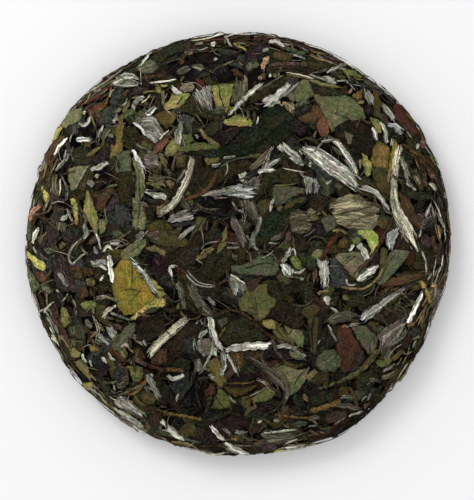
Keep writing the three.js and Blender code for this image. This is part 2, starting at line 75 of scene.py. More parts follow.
# Main pieces. A row is kind, tint and width, then points along the middle of the piece, each across
# and up from the middle of the face, in millimetres. More widths with commas run from end to end.
# A dash in the width's place says that the points follow one long edge and, after the slash, the
# other. In each layer the wide pieces are laid before the narrow ones.
MAIN_PIECES = """
# north-west
leaf sage - -73.3 64.4 -79 63 -82 59.5 -83.5 55.5 / -73.3 60.5 -75 57.3 -79 56 -82 54
leaf straw - -84 56 -88.5 48 / -82.5 55 -86 49
strip brown 2 -78 67 -73 73
flake taupe 2.4 -72 74 -66 78
strip dark_brown 2 -66 80 -60 83
bud cream 1.9 -73.2 62 -71.5 61.8
bud silver 1,1.8,2,1 -75 57 -72 55.5 -70.5 57.5 -69 61
flake slate - -68 59 -63 64 -57 66.5 / -65 56 -60 55.5 -56 61
flake black - -76 54 -70 57 -66 56 / -73 50.5 -68 50 -64 55
bud white 1.1 -66.5 49.5 -64.5 53 -63 57
hairy bright_silver 3 -76.5 48.8 -68 48.8
leaf brown - -91 41 -87 49 -82.5 51.5 / -88.5 36 -84 44 -81 51
strip brown 1.2 -93 38 -88 47
strip red_brown 1 -89 39 -84 48
bud white 1.9 -86.5 41.5 -80 50.5
bud silver 1.5,2,1.5 -86 34.5 -82 39 -79 43
bud silver 1.4 -81.5 40 -81 44.5
flake plum 4 -81 43 -79 48
leaf dark_green - -79 43.5 -75 46 -69 45.5 / -78 37.5 -72 36.5 -66 39
leaf pale_olive 2 -71 41 -64 46
leaf ochre - -55.5 61 -57 54 -59 48 -61 44 -60 39.5 / -54 61 -53.5 54 -54.5 48 -53.5 44.5 -57.5 41
strip lime 1 -55 58 -56.5 51
leaf purple - -69 40 -64 43 -60 47 / -67 35.5 -61 40 -59 44
bud silver 1.6,2.8,1.6 -69.5 34.5 -64 36.5 -60.5 38.5
stem orange 1.3 -67.5 61 -62.5 66 -59.5 74
bud cream 0.9 -60.5 69 -59.5 71.5 -57.8 73
flake slate - -61 66 -59 71 -56 74 / -57 64 -55 69 -53 73
crumb russet 2.4 -54 69.5 -51 72
bud cream 1.1 -54.8 64.2 -53 66 -52 68.5
bud tan 2.4 -54 61.5 -51 68
strip tan 1.6 -50 68.5 -45 69
flake plum - -52 71 -48 74.5 -43 75.5 / -50 69.5 -46 70.5 -42 73
hairy silver - -60 74 -56 79 -52 80.5 -48 79 -45.5 76 / -57 73.8 -53 73.5 -48 74.5 -46 75
bud silver 1.2 -58 74.5 -52 74 -46 75
bud silver 1.0 -53 79.5 -49 79 -46 76.5
strip mid_green 1.8 -64.5 73.5 -58 77.5
leaf grey_green - -48.5 83 -44 86.5 -39.5 87 / -46 80.5 -41 80 -37 83
flake dark_olive - -41 88 -37 91 -31 95.5 / -38 84 -33 86.5 -28 92
bud white 1.5 -46.5 83 -41 92
flake straw 2.6 -52 85.5 -46 88.5
strip white 1.0 -39 94 -33 97
stem brown 2 -46 78 -33 78.8
strip white 1.2 -42 75.5 -33 76.5 -28 77.5
flake lime - -39.3 71 -38.8 74.8 / -35.6 70.2 -36.4 74.2
strip lime 1.4 -45 70.5 -39 71.5
strip tan 1.2 -43 68.5 -38 69
bud silver 1.6,2.6,2.2 -49.3 63 -47.5 67.5 -43.5 68.5
flake olive - -44.5 62.5 -44 67 / -41 64 -42 67.5
hairy bright_silver 3 -43.5 60.5 -38 65
strip brown 0.7 -42.5 61 -39 64.5
hairy silver - -46.5 57 -43 60 -39 60 -36 54 -33.5 50 / -43.5 51.5 -42 49.5 -39 47 -37 47.5
bud bright_silver 1.7 -49.5 57 -46 55 -43 50.5
leaf dark_olive - -54 55 -54 49 -51 45 / -48 55 -45 50 -42.5 45
flake dark_green 5 -52 60 -48 57
strip taupe 1.6 -48 47 -42 44
flake pale_olive 4 -45 48 -41 43
leaf russet - -42.5 41 -38 46.5 -32 52.5 / -42 40.8 -37 43 -32 48
strip cream 1.0 -37 48.5 -32 53.5
bud bright_silver 1,2.4,2.2,1.6 -49.5 44.5 -47.5 41 -45.5 37.5 -43.5 33
hairy mauve_silver - -45 43.5 -40 43.5 -36.5 40.5 / -44 36 -41 34.5 -37 36.5
leaf pale_olive - -37.5 43 -35 42 -33 39 / -36.5 39 -35 37 -33 34
leaf ochre_olive - -41 60 -37 57 -33 53.5 / -36 62 -30 62 -28.5 57.5
flake dark_green 4 -41 55 -33 53
leaf grey_green - -57 43 -57.5 37 -57 33 / -50.5 44 -50 38 -50 34
flake purple 6 -62 52 -57 47
flake taupe 2 -64 53 -58 50
hairy grey_green 4 -64 49 -60 55
# north
bud white 1.4,2.4,1.8 -31.5 74.5 -29 71.5 -26 70.5
flake taupe - -28 72 -26.5 75.5 -22 76.8 / -25 71 -21.5 71.5 -20 74
strip ochre 1.6 -27 76 -25 79
hairy silver - -23.5 71.5 -19 67 -14 62 / -12.7 75.2 -12.4 68 -11.6 62
bud silver 0.9 -20 73 -15 66 -12.5 62
leaf straw - -12.5 74.5 -11.4 68 -10 63.4 / -9.5 74.8 -8.6 69 -6.6 63.5
leaf lime - -9.5 74.8 -8.2 69 -6 62.8 / -1.6 75.2 -3 70 -4.6 64
hairy taupe - -1 75.5 -3 69 -3.5 64.5 / 3.5 80 5 74 1 65.5
bud white 1.4,2,2.2,1.6 -5 59.8 0 65 6 71 12 76
leaf dark_olive - 4.5 66 9 71 16 75.5 22 79.8 / 6 65.5 12 68 18 72 24 77
strip stone 1.4 8 71.5 16 76 22 80
bud white 0.7,2.6,3.6,3,1.2 12 64 15 66.5 19 70 22 73 24.8 75.4
hairy silver 1.8 21 69 29 76.5
leaf sage - 26 71 29 76.5 33 78.5 / 27 66 32 67 36 70.5
flake grey_green 4 23 71 27 67
leaf straw - -7 57.5 -3 59.5 1 61 4 59 7.6 57.6 / -6.5 56 0 55 7 55
bud white 1.0 8.5 56 9.5 60
crumb yellow 2.2 -4.5 63.5 -2 64
strip yellow 1.6 -6 61.5 -4 65
hairy grey_green 5 -12 62 -4 61
leaf maroon - -14 49.5 -10 52.5 -6 54 0.5 55.5 / -12 47 -7 45.3 -3 48.5 1 53
bud tan 1.6,2.2,1.8,0.8 -18.2 54 -15.5 50.5 -12 47.5 -8 45.6
flake dark_green - -16.5 55 -13 57.5 -9 57 / -15 51 -11 50.5 -8 53
leaf deep_green - -29 43.5 -22 46.5 -12 47.2 -5 46 0 51 4 55 10 56 12 63 19 65.8 26 61.5 / \
-28 42.3 -22 42.2 -12 40.2 -3 41 6 41.5 13 42.5 17 45 21 48 25.5 51 28.7 57
leaf mid_green - -29.3 43.6 -24 46.8 -18 47.6 -10 46.6 / -28 43 -22 43.4 -16 44 -8 44.6
leaf mid_green - -27.5 45.6 -22.4 52.4 / -20 47.4 -20.8 49.8
strip dark_green 0.7 -9 44.5 0 44.5 10 48 20 56 27 58
strip dark_green 0.6 2 50 8 51 13 53.5
flake mid_green 2.4 4 41 12 41.5
leaf dark_olive - -26.5 66.5 -22 69.5 -15 66.5 -9 62 / -27 62.5 -20 60 -13 58 -7 58.5
leaf lime - -35 64.5 -31 69.5 -25 71.2 -22.3 70 / -34 62 -30 63.5 -27 64 -23.4 68
strip mauve 0.8 -29 65 -25.5 69.5
leaf ochre_olive - -36 62 -29.5 62.5 / -35 55 -31 56 -28 59.5
flake slate 6 -27 60 -21 56
hairy silver 4 -26.5 58 -28.5 46
hairy grey_green 3 -24 58 -22 50
stem mauve 1.6 -25 43 -29 41 -31 33
leaf olive - -29 42 -29 36 / -24 42 -25 36
leaf ochre - -16 40.2 -8 40.4 / -15 37 -9 38.2
stem peach 1,2.6,3,1.8 11.5 80.8 12 84 13.5 87 14.4 89
crumb peach 2 9.6 78.6 11 76.6
stem mauve 2.6 15 84.5 24 84.5 34 84.5
stem dark_brown 2.2 16 82.5 25 83 35 81
strip cream 1.0 22 80.5 29 79.5 36 77.5
strip lime 1 22 79.6 29 78.4 34 77.4
stem peach 1.6 20.6 66.4 24 65 27 61.4
flake stone - 26.5 64.5 29 67 32 68 / 27 63.5 30 65 34 66
flake purple 5 26 61.5 35 66
leaf black - -24.5 89 -15 89.8 -7 89.2 0 88.2 / -23 85.8 -15 84.4 -7 85.8 -1 85.8
leaf black - -13.5 80.5 -7 82.4 -2 80.8 / -12.5 76.2 -6 75.6 -1 77
leaf dark_green - -36 91.5 -28 95 -21.5 96.2 / -35 86.5 -28 89.6 -22.5 91.5
strip ochre 2.4 -25.5 90 -21 89.4
flake brown 4 -28 88 -25 85
hairy stone 4 -29 80 -22 83
hairy taupe 3 -22 84 -15 82
hairy slate 2.6 -19 78.5 -13 80
strip olive 1.4 -14 80.5 -8 83.5 -1 86
strip lime 1.2 -7 83.6 -2 86
strip white 1.3 -7 97 0 99 11 99
bud white 1,2.2,2,1 14 94.4 17 95.2 19.5 94 21.6 91.8
bud straw 1.8 -2.4 94.6 4 91
crumb orange 1.4 -2.5 90.5 0 90.3
bud white 2.8 -13 93.8 -10.4 94
bud white 1.9 -11.4 87.2 -9.6 86.6
crumb silver 2 12 90 14.5 92
flake olive 5 16 90 26 86
flake grey_green 4 20 93 32 89
strip russet 1.6 12 97 22 97.5 31 94
strip brown 1.4 22 95 34 92
flake grey_green 4 4 82 10 85
flake olive 2.6 11 80 13 77
flake pale_olive 3 17 78 19 81
bud white 1.2 15 78 15 80.5
hairy taupe 3.4 5 34 11 39 17 44.5
hairy silver 2.6 9 33 20 40.5
hairy silver 3.4 20 47 26 42 31 37.5
bud white 1.7 33.6 36 34 38.4
bud silver 1.5 -7 40 -1 40.8
bud silver 1.7 -12.5 36.6 -8 37.6
strip stone 1.2 -9 35.5 -2 39.5 9 41
flake dark_green 4 18 40 30 44
flake purple 6 25 57 32 52
# north-east
leaf sage - 34 71 40 69.3 46 69.5 51 69.6 55 67.5 59 63 60.6 57.4 / \
36 68 38 65 41 58 44.5 52.5 48 56.5 53 57.8 59.4 57.2
strip mauve 0.9 38.5 64 46 61 53 58
strip grey_green 0.5 46 61 47 66.5
strip grey_green 0.5 50 59.5 53 65
leaf brown - 27 60 31 63.5 36.5 65.6 39.8 62 / 29 57 34 57 38 58 40.5 59.5
leaf russet - 36.5 57 37.5 52 40 49.5 / 39.5 60.5 43 55.5 42 50.5
leaf pale_olive - 41 59 43.8 52 / 44 57 45 53
leaf dark - 44 53.5 50 57.6 57 58.2 62.5 54.6 64.2 48 / 46 50 52 49 54 44 58 41.5 63 41
strip brown 0.5 52 57.5 60 51
leaf grey_green - 49.5 53 51 47 / 54 51 52.5 46
strip olive 1.2 43 50 51 45 56 36
strip silver 1.1 33 43 36 43.6 42 51
bud silver 1.4 50 40 54 34
bud white 1.4,2.2,2.4,2.4,1.6 41.5 49.6 46 48 50 42.5 53 38 56 32
leaf lime - 61.5 59.8 64 55 66 51.5 / 66.5 59 67.6 55 67.5 52
leaf lime - 58 42.6 58.4 38 60 31 / 60 41.6 62.6 38 62.2 32
leaf ochre - 64 47.6 63 43 62 38.5 64.5 35.5 / 66.5 48.2 71.5 45.4 71 40 70 33
leaf yellow - 74 50.4 71.5 42 70 32.5 / 75.2 45 75 38 72.6 32.5
bud white 2.1 63 55 65.2 47.8
bud white 1.4,2,2 66.4 57.6 69 54 69.8 47
bud cream 1.5 72.6 50 71.6 45.6
hairy silver - 58.5 71.6 60 68.5 61.2 65 / 62.2 72.8 63.8 68 63.4 63.5
leaf ochre_olive - 63 72.2 63.4 66 63.4 60 / 65.4 72 67.6 66 66.2 60
flake ochre - 53.5 69.5 56 72 59 72.2 / 54 67.8 57 67.8 59.6 68.4
flake lime 2.4 56 66.5 59.5 67
flake purple 4 59 65 62.5 61
hairy silver 2.6 67.5 66 71 62 73.6 57.6
hairy bright_silver 3.2 70 57 78 51.6
flake brown 3 67 61 71 57
leaf red_brown - 72.5 66 74 59 78 54 83 50.5 / 76 67.2 80 61.6 83 56 85.2 53
flake maroon 3 70 71 76 67.5
flake dark_green 5 79 49 84 45
leaf olive - 79 61.5 83 57 / 81 62.5 86 56
flake mauve - 85.4 46.5 86.4 52.6 / 88 45 88.8 50.5
bud white 1.4 84.8 47.2 83.4 44.2
stem brown 1.2,2,2 76.5 47.5 83 43.5 92.5 36
stem brown 1.8 80 43 87 38 94 31
strip ochre 1 80 44 88 39.5 93 35
flake pale_olive 2.6 90 42 94 36
bud olive 1.8,2.4,2 77.6 40 80 35.5 84 32
bud silver 1.6,2.4,1.8 76.5 41 78.5 35 80.5 31
hairy silver 2 41 80 46 83 52 84.5
hairy silver 3.4 39 78.5 46.5 75.5
bud silver 1.2 33 79.8 38 78.2 42 77
strip pale_olive 2.4 33 77.5 40 74.6 50 73.6
flake dark_green - 36 73.5 42 73.5 48 72.5 / 38 69.5 43 69.6 48 70
leaf pale_olive - 49 82.6 53 82.4 58 79 / 51 79.6 54 79 58 77.6
flake ochre_olive 2.6 46.5 79.4 51 78
strip silver 1.2 46 76.6 51 76.8
strip salmon 1.6 52 70.5 54 73.5
leaf dark_olive - 32 88.5 38 86.5 46 84.2 / 33 82.4 38 81.6 45 83
strip tan 1.6 33 89 40 87 46 84.5
bud silver 1.0 37 89.4 40.5 87.4
strip ochre 1.4 33 91.5 42 89.5
flake plum 2.4 42 88 50 86
flake slate - 55 75 61 76.4 69 71 / 56 72.6 62 73.5 67 68
hairy grey_green 3 59 77 68 72
# west
leaf sage - -80.2 37 -79.6 29 -78 24.6 / -69.5 37 -73.5 30 -76 25.6
strip bright_silver 0.8 -71 36 -74.5 29.5 -76.5 26
strip silver 0.6 -73 36.5 -76 30
leaf brown - -74.5 29.5 -74 25 / -71 29 -71.6 25
hairy silver 3.4 -71 29 -67 27.5
flake black - -68 36 -68 31 / -60 36 -59 30
crumb cream 2 -67 31 -65 32.5
strip russet 1 -62 29 -58 29.5
leaf straw - -92.6 27.6 -92 24 -90.6 19.4 / -91 27.2 -88.4 23.5 -89.4 20.4
stem plum 2 -92.5 31.5 -89.5 25 -85 21.2 -81 20.6 -79.8 24 -80 28
hairy taupe 3.6 -85.5 33 -86 27 -84 21.6
strip white 0.9 -83.5 31 -83.6 23
crumb yellow 1.8 -87.5 30 -86 31.5
stem salmon 2,3.4,3.4,2.4 -99.6 10 -97.5 13 -95 16.5 -93.2 18.4
stem mauve 1.3 -98 13.6 -91 14.4 -88 17 -87 22
bud white 2.1 -83.5 11 -80 14
hairy stone - -85 11 -86 6.5 / -80.5 10 -80.5 4.5
bud white 1.6,2.6,2 -97 0 -96 4 -94 8
bud white 1.2 -96.4 -1 -94.4 -5
leaf plum - -93 -2 -91 6 -88.5 12 -85 19 / -86 -1.5 -84 4 -84.5 9 -81 17
strip salmon 0.9 -93.5 1 -89.5 6
leaf grey_green - -102 9 -101.5 1 / -97.5 11 -98 2
flake dark_brown - -96 12 -94 17 / -90 9 -89 15
leaf straw - -79 21.8 -77.6 16 -76 8.8 / -76 21.8 -74.8 17 -75.2 9.2
stem olive 1.6 -79 24.5 -74.5 19 -73.5 10 -75 5 -78 1
leaf lime - -70.6 25.4 -72.6 16 -69.5 10 -66.4 3.4 / -69.6 24.4 -66.8 17 -65.6 13 -65.8 4
strip olive 0.8 -70 25.5 -68 20 -66.2 15
leaf sage - -65.6 12 -65 4 / -60.5 11.5 -62.6 5
leaf brown - -67 16.5 -65.5 22 -61 26.8 / -64 15.2 -61 20 -57.8 26
leaf plum - -63 15 -60 20 -57.5 25 / -59 15 -57 19 -55 22
leaf dark_olive - -57 35.5 -56.4 26 -55 19 / -49.4 36 -49 28 -49.6 17
leaf sage - -50 41 -47.8 33 -47.5 25 -49.3 19 -49.4 12 -49.6 6 / \
-47.4 41 -43.8 33 -43.4 25 -45.6 20 -42.8 12 -43.6 6
strip grey_green 0.8 -46.5 35 -46 20 -47 8
bud white 0.8 -45 36 -43.5 30
flake slate - -62.5 19 -63.5 12 -60 3 / -52 21 -49.6 13 -51.5 5.5
flake dark - -62 10 -61 4 / -54 9 -53 4
leaf grey_green - -59 5.5 -56 7 / -58 2.5 -53 4.5
hairy silver 2.6 -72.5 10 -71 5 -73 0.5
strip silver 1.5 -72 3.4 -76.5 0 -79.4 -5.5 -77.6 -9.4 -73 -5.4 -69.4 -3
strip olive 1.4 -71 2.5 -75 0 -77 -5
flake dark_green 5 -76 -1 -75 -8
flake plum 6 -82 6 -77 2
flake pale_olive 3 -84 -2 -81 1
stem olive 1.4 -88 1 -84 -4 -80 -9
leaf straw - -99.4 -2.6 -95 -6.4 -89.4 -9.8 / -98.6 -6 -95 -11 -91 -13
leaf grey_green - -102 -7 -100.4 -16 -96.5 -24 / -99.6 -8 -97 -14 -93 -20
flake sage 2.4 -98 -14 -95 -22
flake brown - -95.5 -13 -94 -18 / -89 -13.5 -88 -18
flake grey_green 3 -93 -19 -88 -23
leaf plum - -88 -7 -87 -15 -85 -23 / -80 -6 -77.5 -14 -76 -22
flake black 2.6 -87.5 -12 -87 -21
flake brown - -79 -10 -78 -17 / -73 -10 -72 -17
hairy silver 2 -85 -13 -82.5 -16 -79.6 -20.5
strip cream 0.7 -84.5 -13 -81 -18
strip cream 0.9 -91.5 -32.5 -88 -28 -85.5 -27
strip silver 1.4 -94 -32 -90 -30 -87 -27
flake mauve_brown - -90 -30 -88 -36 / -85.5 -28 -83 -35
strip silver 1.2 -89 -30 -87 -35
hairy white 3 -97 -24 -94.5 -33
hairy slate 3 -84 -22 -82 -30
bud silver 1.2 -85.5 -21.5 -83.5 -22.5
strip cream 1.0 -82.5 -27 -79.5 -23
bud white 2.6 -60.2 -4.6 -59.6 -12 -58.4 -19
bud silver 1.6,2.6,2.8,2.4 -69.4 -7.6 -66.5 -9.4 -64 -8 -61 -9
bud white 1.9 -65 -10 -61 -12
bud silver 1.7 -67.5 -1 -65.6 -5
bud white 1.5 -64.8 -17.2 -63 -14.4
bud cream 1.5 -63.5 -4 -61 -1 -58.5 -3
hairy silver 3 -60 0 -55 1.5
stem tan 1.2 -60 1 -55 3 -49.6 6.4
strip russet 0.8 -67 -16 -64 -12
flake brown 5 -73 -12 -67 -14
flake pale_olive 4 -71 -16 -68 -20
flake brown - -75.4 -21 -75 -26.4 / -70.6 -20 -70 -25
leaf lime - -74.4 -28.4 -71 -26.4 -66.4 -27 / -72 -30.6 -68 -30.4 -66 -29
stem taupe 1.9 -68 -26.4 -62 -24.8 -58 -26 -54.4 -28
strip silver 0.9 -68 -25 -61 -24
bud cream 1.2,2,1.4 -56.6 -28.8 -61 -31 -63.4 -35
strip silver 1.7 -60 -32 -55 -34 -50 -35.5
flake lime 1.8 -68 -29.5 -67.4 -33
leaf olive - -67 -28 -66 -34 / -62 -29 -61 -34
flake purple 2.6 -74 -31 -69 -34
flake dark_olive 5 -66 -23 -60 -19
leaf yellow - -52.6 -5.4 -57.8 -11 -59 -21 -55.6 -31 -51.6 -34.6 / \
-51.6 -6 -46 -13.5 -42 -19 -38.2 -25.4 -45.5 -31.5
strip straw 0.6 -50.5 -27 -45 -20.5
strip straw 0.5 -57 -20 -48 -22
leaf straw - -41 -15.4 -36 -20 -33.4 -23.6 / -42 -17 -39 -22 -36 -25.8
hairy bright_silver 2.8 -51 -6.8 -44 -14 -37 -25.2
fold straw 1.4,2.4,3.6,4.6,4 -50.5 -35.6 -45 -31.6 -40 -28.8 -36.5 -27.4 -33.2 -27
hairy grey_green 2.6 -44 -32 -37 -30
leaf sage - -55.6 -5.4 -52 -1 -47 1.8 -42.4 2.2 / -54 -7.6 -49.4 -7 -45.8 -4.4 -43 0
strip grey_green 0.5 -54.5 -6 -48 -2 -43 1.5
flake black - -47 -4 -43 0 -40 -1 / -46 -8 -42 -11 -37 -6
leaf pale_olive - -43.4 -1.6 -39 -0.4 -33 -3.6 / -42 -3.4 -38 -3.6 -34 -6
leaf maroon - -44.6 -13 -41 -7 -37 -2.4 / -42 -15.6 -38 -14.6 -33 -13.4 -31.6 -6
strip mauve 1.4 -39 -7 -36.5 -10
flake purple - -40 -15 -35 -15 / -37 -20 -32.5 -21
flake mauve_brown 2 -35 -24 -31 -27
flake tan - -39.4 15.6 -36 18.8 -31 19.6 / -38 13 -34 14 -30 16.4
bud white 2,3.2,2.4 -43.6 25.6 -39.5 23.2 -33 21.8
strip lime 1.8 -43.2 28.6 -38 27 -34.4 24.8
hairy taupe - -42.5 31.5 -34 32 / -42 28.6 -33 26.4
flake brown 3 -36 21 -31 19
hairy silver 2 -46 20 -42 17.5
hairy slate 2 -44 22 -36 18.6
flake dark 4 -42 18 -40 10
leaf ochre_olive - -43 8.5 -38 11.5 -32 10.4 / -41 5.5 -37 6.5 -30 7
leaf olive - -43 7.5 -35 8 -28 6.5 -22.6 0 / -41 1 -36 -1 -29 -1.8 -25 -1.4
hairy mauve 2.4 -43 4 -36 5.5
hairy silver 3 -48 3 -44 6
# middle
bud cream 2.6,3,3.2,2.6,1.6 -21.8 42 -22 37 -24.6 29 -31 18 -38.5 12.6
strip silver 1.4 -24.6 35 -29.4 28
flake tan 3 -33 30 -30.5 26
leaf dark - -21.6 36 -24.6 23.6 / -10 36 -16.6 25
hairy slate 1.2 -20 30 -17 25
leaf dark_olive - -26 21.4 -18 26.6 -11.5 35 -3 39 5 39.6 / -15 22.6 -8 28.6 -2 32 4 34 12 35
strip brown 2.6 -26 20.6 -18 23.6 -12.6 28 -9 35
flake ochre_olive 2.6 -13 29 -8 35
hairy bright_silver - -17.4 22.6 -10 25 -5 25.6 0 28 8 28.4 11 25.6 / \
-17 22 -8 23.4 -2 22.4 2 21 5.4 20 8 22.4
bud cream 1.2 -17 22.4 -10 24.4 -4 24.4
hairy slate 3.4 3 30 11 35
hairy silver 3.4 4.6 30 11 28
bud white 2.1 9 33.6 18 34.6
flake dark_olive - 6.4 22.4 8.5 26 11 31 13 34 / 8 21.4 11.6 24 13.6 27 15 30
leaf dark_olive - 14 34.6 20 35.4 28 35.6 / 15.6 29 22 28 30 28.4
strip lime 0.8 16 27.4 24 27.6 30 29.4
leaf grey_green - 17.4 17.6 16 22 16.4 27 21.6 27.6 / 19 17.4 24 21 31 23.4 31.6 26.6
strip mauve 1.1 17.6 16.4 20.5 21 24.4 25.6
hairy bright_silver - 30 32 31.6 28 31.4 23.4 / 37 31 38 27 36.6 22
bud silver 1.2 28 35.4 31 31
leaf dark - 24 21.6 30 24 / 26 20 35 20.6
leaf black - -22 19.4 -20 22 -12 22 -6 23.6 -3.4 21 / -21 16.4 -19 13 -12 12 -7 13 -3.4 15.6
hairy plum 2.4 -19 18 -10 15
bud cream 1.1 -3 20 -0.4 15.8
hairy stone - 0 21.6 1 17 4 14 8 10.4 / 7 21 9 17 10 13 10.4 10
flake maroon 4 3 13.5 8.6 8.6
bud white 1.5 16.6 21.6 15.6 18 14.8 14.8
leaf olive - 11 13.6 9.6 17 9.4 20.6 / 13.4 15 15 18 15.2 21.4
bud tan 2 18.6 15.4 21 18
leaf olive - 21 16.4 24 20 28 21.6 31.4 22.6 / 23.6 16.4 27 18.6 30 19.6 32 21
leaf deep_green - 8.4 0 9.4 5 11 11 15 15.6 24 17.6 35 24 / 11 -1.6 17 2.4 23 7.4 25.6 12 28.4 17 35 22
hairy taupe - 24 10 24.4 15 29 16.4 35 13 / 24 6 27.4 5 31.4 5 35.6 8
flake dark - 26 -4 26 0 26.4 4.6 / 29.6 -5.6 33 -2 34.6 4
hairy silver - -35 9.6 -31 13.6 -22.4 17 / -30 10 -25 10.6 -19 12
flake slate 2.4 -32 9 -19.4 10
hairy silver 2.4 -28 2 -25 5 -19 9.6
crumb orange 2.2 -18.6 6 -16.4 8.4
flake dark_green - -16.4 1.4 -15.4 5 -12 8 / -9 1.6 -8 4.4 -8 7.4
leaf tan - -7.6 0 -7.4 5 -5.6 8.6 / -5 2 -4.8 5 -5.2 8.6
leaf pale_olive - -10.4 -5 -8.6 0.6 / -6.4 -2.4 -5 2
strip silver 1.0 -17.4 -3 -15 0 -8.4 1.6
strip silver 0.9 -5.4 0.6 1 0
strip silver 1.4 -5.4 -2 1 -1.8
bud tan 1.4,3,3,1.8 -19.6 -7.4 -17 -5.6 -14 -3.2 -11 -2
strip silver 0.9 -19.6 -6.8 -16 -9.4
hairy mauve_silver 4.4 -3.4 13 0 6 4.6 -2.4
hairy silver 1.4 -1.6 12 3 4
bud silver 1.4,1.8,2,2.2,2,1.6 10.6 14 10 9 8 5 6.6 1.4 8.4 -2.4 10.8 -4.8
stem stone 1.2 4 -3 6 -6 6 -11
leaf dark_olive - -19 -13.6 -14 -6 -6 -1 / -11 -18 -4 -13 -1 -7 -2 -2
leaf dark - -19 -26 -20 -20 -17 -14 / -8 -27.4 -7 -21 -9 -15
strip olive 0.5 -12 -25 -11.4 -12
strip olive 0.5 -16 -20 -10 -10 -5 -6
flake mauve 3 -3 -5 0 -7
leaf grey_green - -4 -9.4 0 -10.4 6 -8 10 -5 16 -5.4 18.8 -8 / -3 -12.4 1 -14 8 -14.6 15 -15 18 -14 19.6 -11
strip dark 0.6 2 -12 12 -9 18 -10
flake dark - 16.4 -2 16 -5 16.4 -8.6 / 24 -1 22.4 -4 20.4 -7.6
hairy stone 3 15 1.6 22 5.4
bud silver 1.0 14 0.4 20 0.4
flake mauve - 21 0 22 4 23.6 6.4 / 23.6 0 25 3 25.6 5.4
strip olive 1.4 25.4 4 26.4 -3
leaf mid_green - 24 -6.4 25 -9 28 -12 / 27 -5 29 -8 30.6 -12
hairy bright_silver - 19.4 -9 20.4 -12 22 -15 / 21 -8.8 26 -12 26.8 -15.6
bud white 1.4 26 -13 29 -13.4 31.4 -11
bud silver 1.6,2.4,1.6 20.6 -8.6 23.4 -4.4 25 -0.8
strip white 0.9 23.4 -5 26 -2 27 -5.6
leaf olive - 18 -15.6 20 -12.6 22 -15.4 / 21 -19 24 -19 26 -16.6
strip white 1.7 -28 -10.2 -32 -11 -31.4 -13.4 -30 -16.4
leaf dark_brown - -35 -5.6 -29 -3 -24 1 -18 7 -15 9.6 / -34 -10 -26 -11.6 -20 -9 -17.4 -2 -14 4
strip olive 0.5 -31 -9 -26 -5
strip silver 1.0 -25 -13 -22.4 -16.4 -18 -19.4 -10 -20
strip silver 0.8 -24 -12 -21 -15.6 -17 -18.4 -10 -19.4
leaf dark_olive - -29 -14 -28 -22 -27 -31 / -22.4 -14 -18 -22 -14 -33
hairy stone 3.4 -28.4 -16 -27 -22 -25 -31
hairy stone 4,4,4,5,3 -22.6 -17 -20 -24 -16 -30 -12.6 -33.6 -9 -33
bud silver 1.9 -14.4 -25 -10.4 -29
leaf brown - -6 -20 -4 -24 / -1 -21 -2 -26
hairy silver - -5.4 -14 -4 -19 -2 -24.6 / -1 -14.6 4 -19.6 2.4 -24
bud cream 1.1 -4 -14 0 -16.6 4 -19
leaf mauve_brown - 4.4 -17 4 -20 5.4 -22.6 / 11.6 -15 10 -18 7.6 -22
leaf pale_olive - 3.4 -19.4 3 -23 0.4 -26 0.4 -30.6 6 -32.6 8 -35.8 / \
12 -16 13.6 -19 13.6 -23 18.6 -26.6 15 -31 12 -35.8
strip pale_olive 0.6 8 -24 8.4 -35
strip pale_olive 0.5 9 -29 14 -25.4
leaf dark_olive - 13.4 -18 14 -22 17 -26.6 20 -27.6 / 19 -16 25 -17.4 32 -16 29 -22
flake dark_brown - 13 -35 18 -28.4 20.4 -26 / 27 -35.6 30 -32 32 -27
strip slate 0.8 19.4 -26 24 -30 27 -34
flake dark_olive - 29 -25.6 28 -21 31 -17 / 35.4 -27 35.4 -22 34.8 -17
bud white 1.5 29 -15.8 31 -16.6
leaf ochre_olive - 29.4 -30 30 -33 33 -35.6 / 35 -27 38.6 -30 36 -34
stem brown 1.6 -12 -34 -4 -31 3 -33 10 -39 15 -43 25 -47 33 -53
stem dark_brown 1.6 -9 -26.4 -2 -26 0 -30
# east
leaf brown - 75 25.4 76.6 17 80 11 86 6.4 / 79 24 82 18 84.6 12 87.4 7
strip ochre 0.6 77.4 23 81 15 85 8
leaf dark_green - 76 25.2 82 25 89 24.6 93 22.6 / 79 21.8 83 20.8 89 20.4 92.6 21
hairy pale_taupe - 41.4 17.4 46 21 52 23.6 57 23 61 19 67.6 18 / 45 12 47 9 53 7 59 6.4 64 7 66.4 12
strip mauve 0.8 46 14 56 16 66 18.6
strip tan 0.6 49 7.6 59 13 66 15
leaf grey_green - 38.4 10 40 13 45 13.6 / 41.6 5 45 7.4 49 12
stem red_brown 2,2.4,2.6,2.4 38.6 -8 41 -3.6 43.6 1 47 4.6
strip tan 1.6 45 5.4 48 6.6 52 4.4
strip straw 1.4 44 6 48 7
leaf bright_green - 56 7.6 61 8.6 66 4 66 0 63.4 -5.6 / 55.4 5 58.4 3.6 61 0.4 62 -3 61.4 -6
strip yellow 1.5 62.4 -4.6 61 -8
leaf mid_green - 54 -0.6 53 2 54 4 / 57 0 57.6 2 57 3.6
leaf ochre_olive - 46.4 -2 47 1 50 3.6 / 50 -1.6 51.6 0.4 52 2
bud white 2,3,3,2 56 0 58 -2 59.6 -5 60.4 -8
bud white 1.7 54 0 52 -4
leaf taupe - 45 -4.4 50 -4 56 -3.4 59.6 -7 60 -10.6 / 45.4 -6.6 49 -10 52 -14 55 -16.6 57.6 -15
strip mauve_brown 0.6 48.6 -9 52.4 -5.4
strip mauve_brown 0.6 50 -9.4 56 -5
leaf slate - 42.4 -6 43 -13 43 -19 47 -21.6 / 45 -6 49 -11 52.6 -16 51 -20
bud white 2,3,3.6,3,1.6 55.6 -17.4 58 -15.6 61 -13.4 63.6 -11.4 66.2 -9.6
strip white 1.5 50.6 -16 51.4 -19 56 -19
strip tan 1.6 47.6 -20 54 -21 60 -20.4 66 -15 68 -10
hairy bright_silver - 72.6 8 69.4 4 69.4 0 71.6 -4 / 75.6 8 74.6 4 73 0 72.6 -4
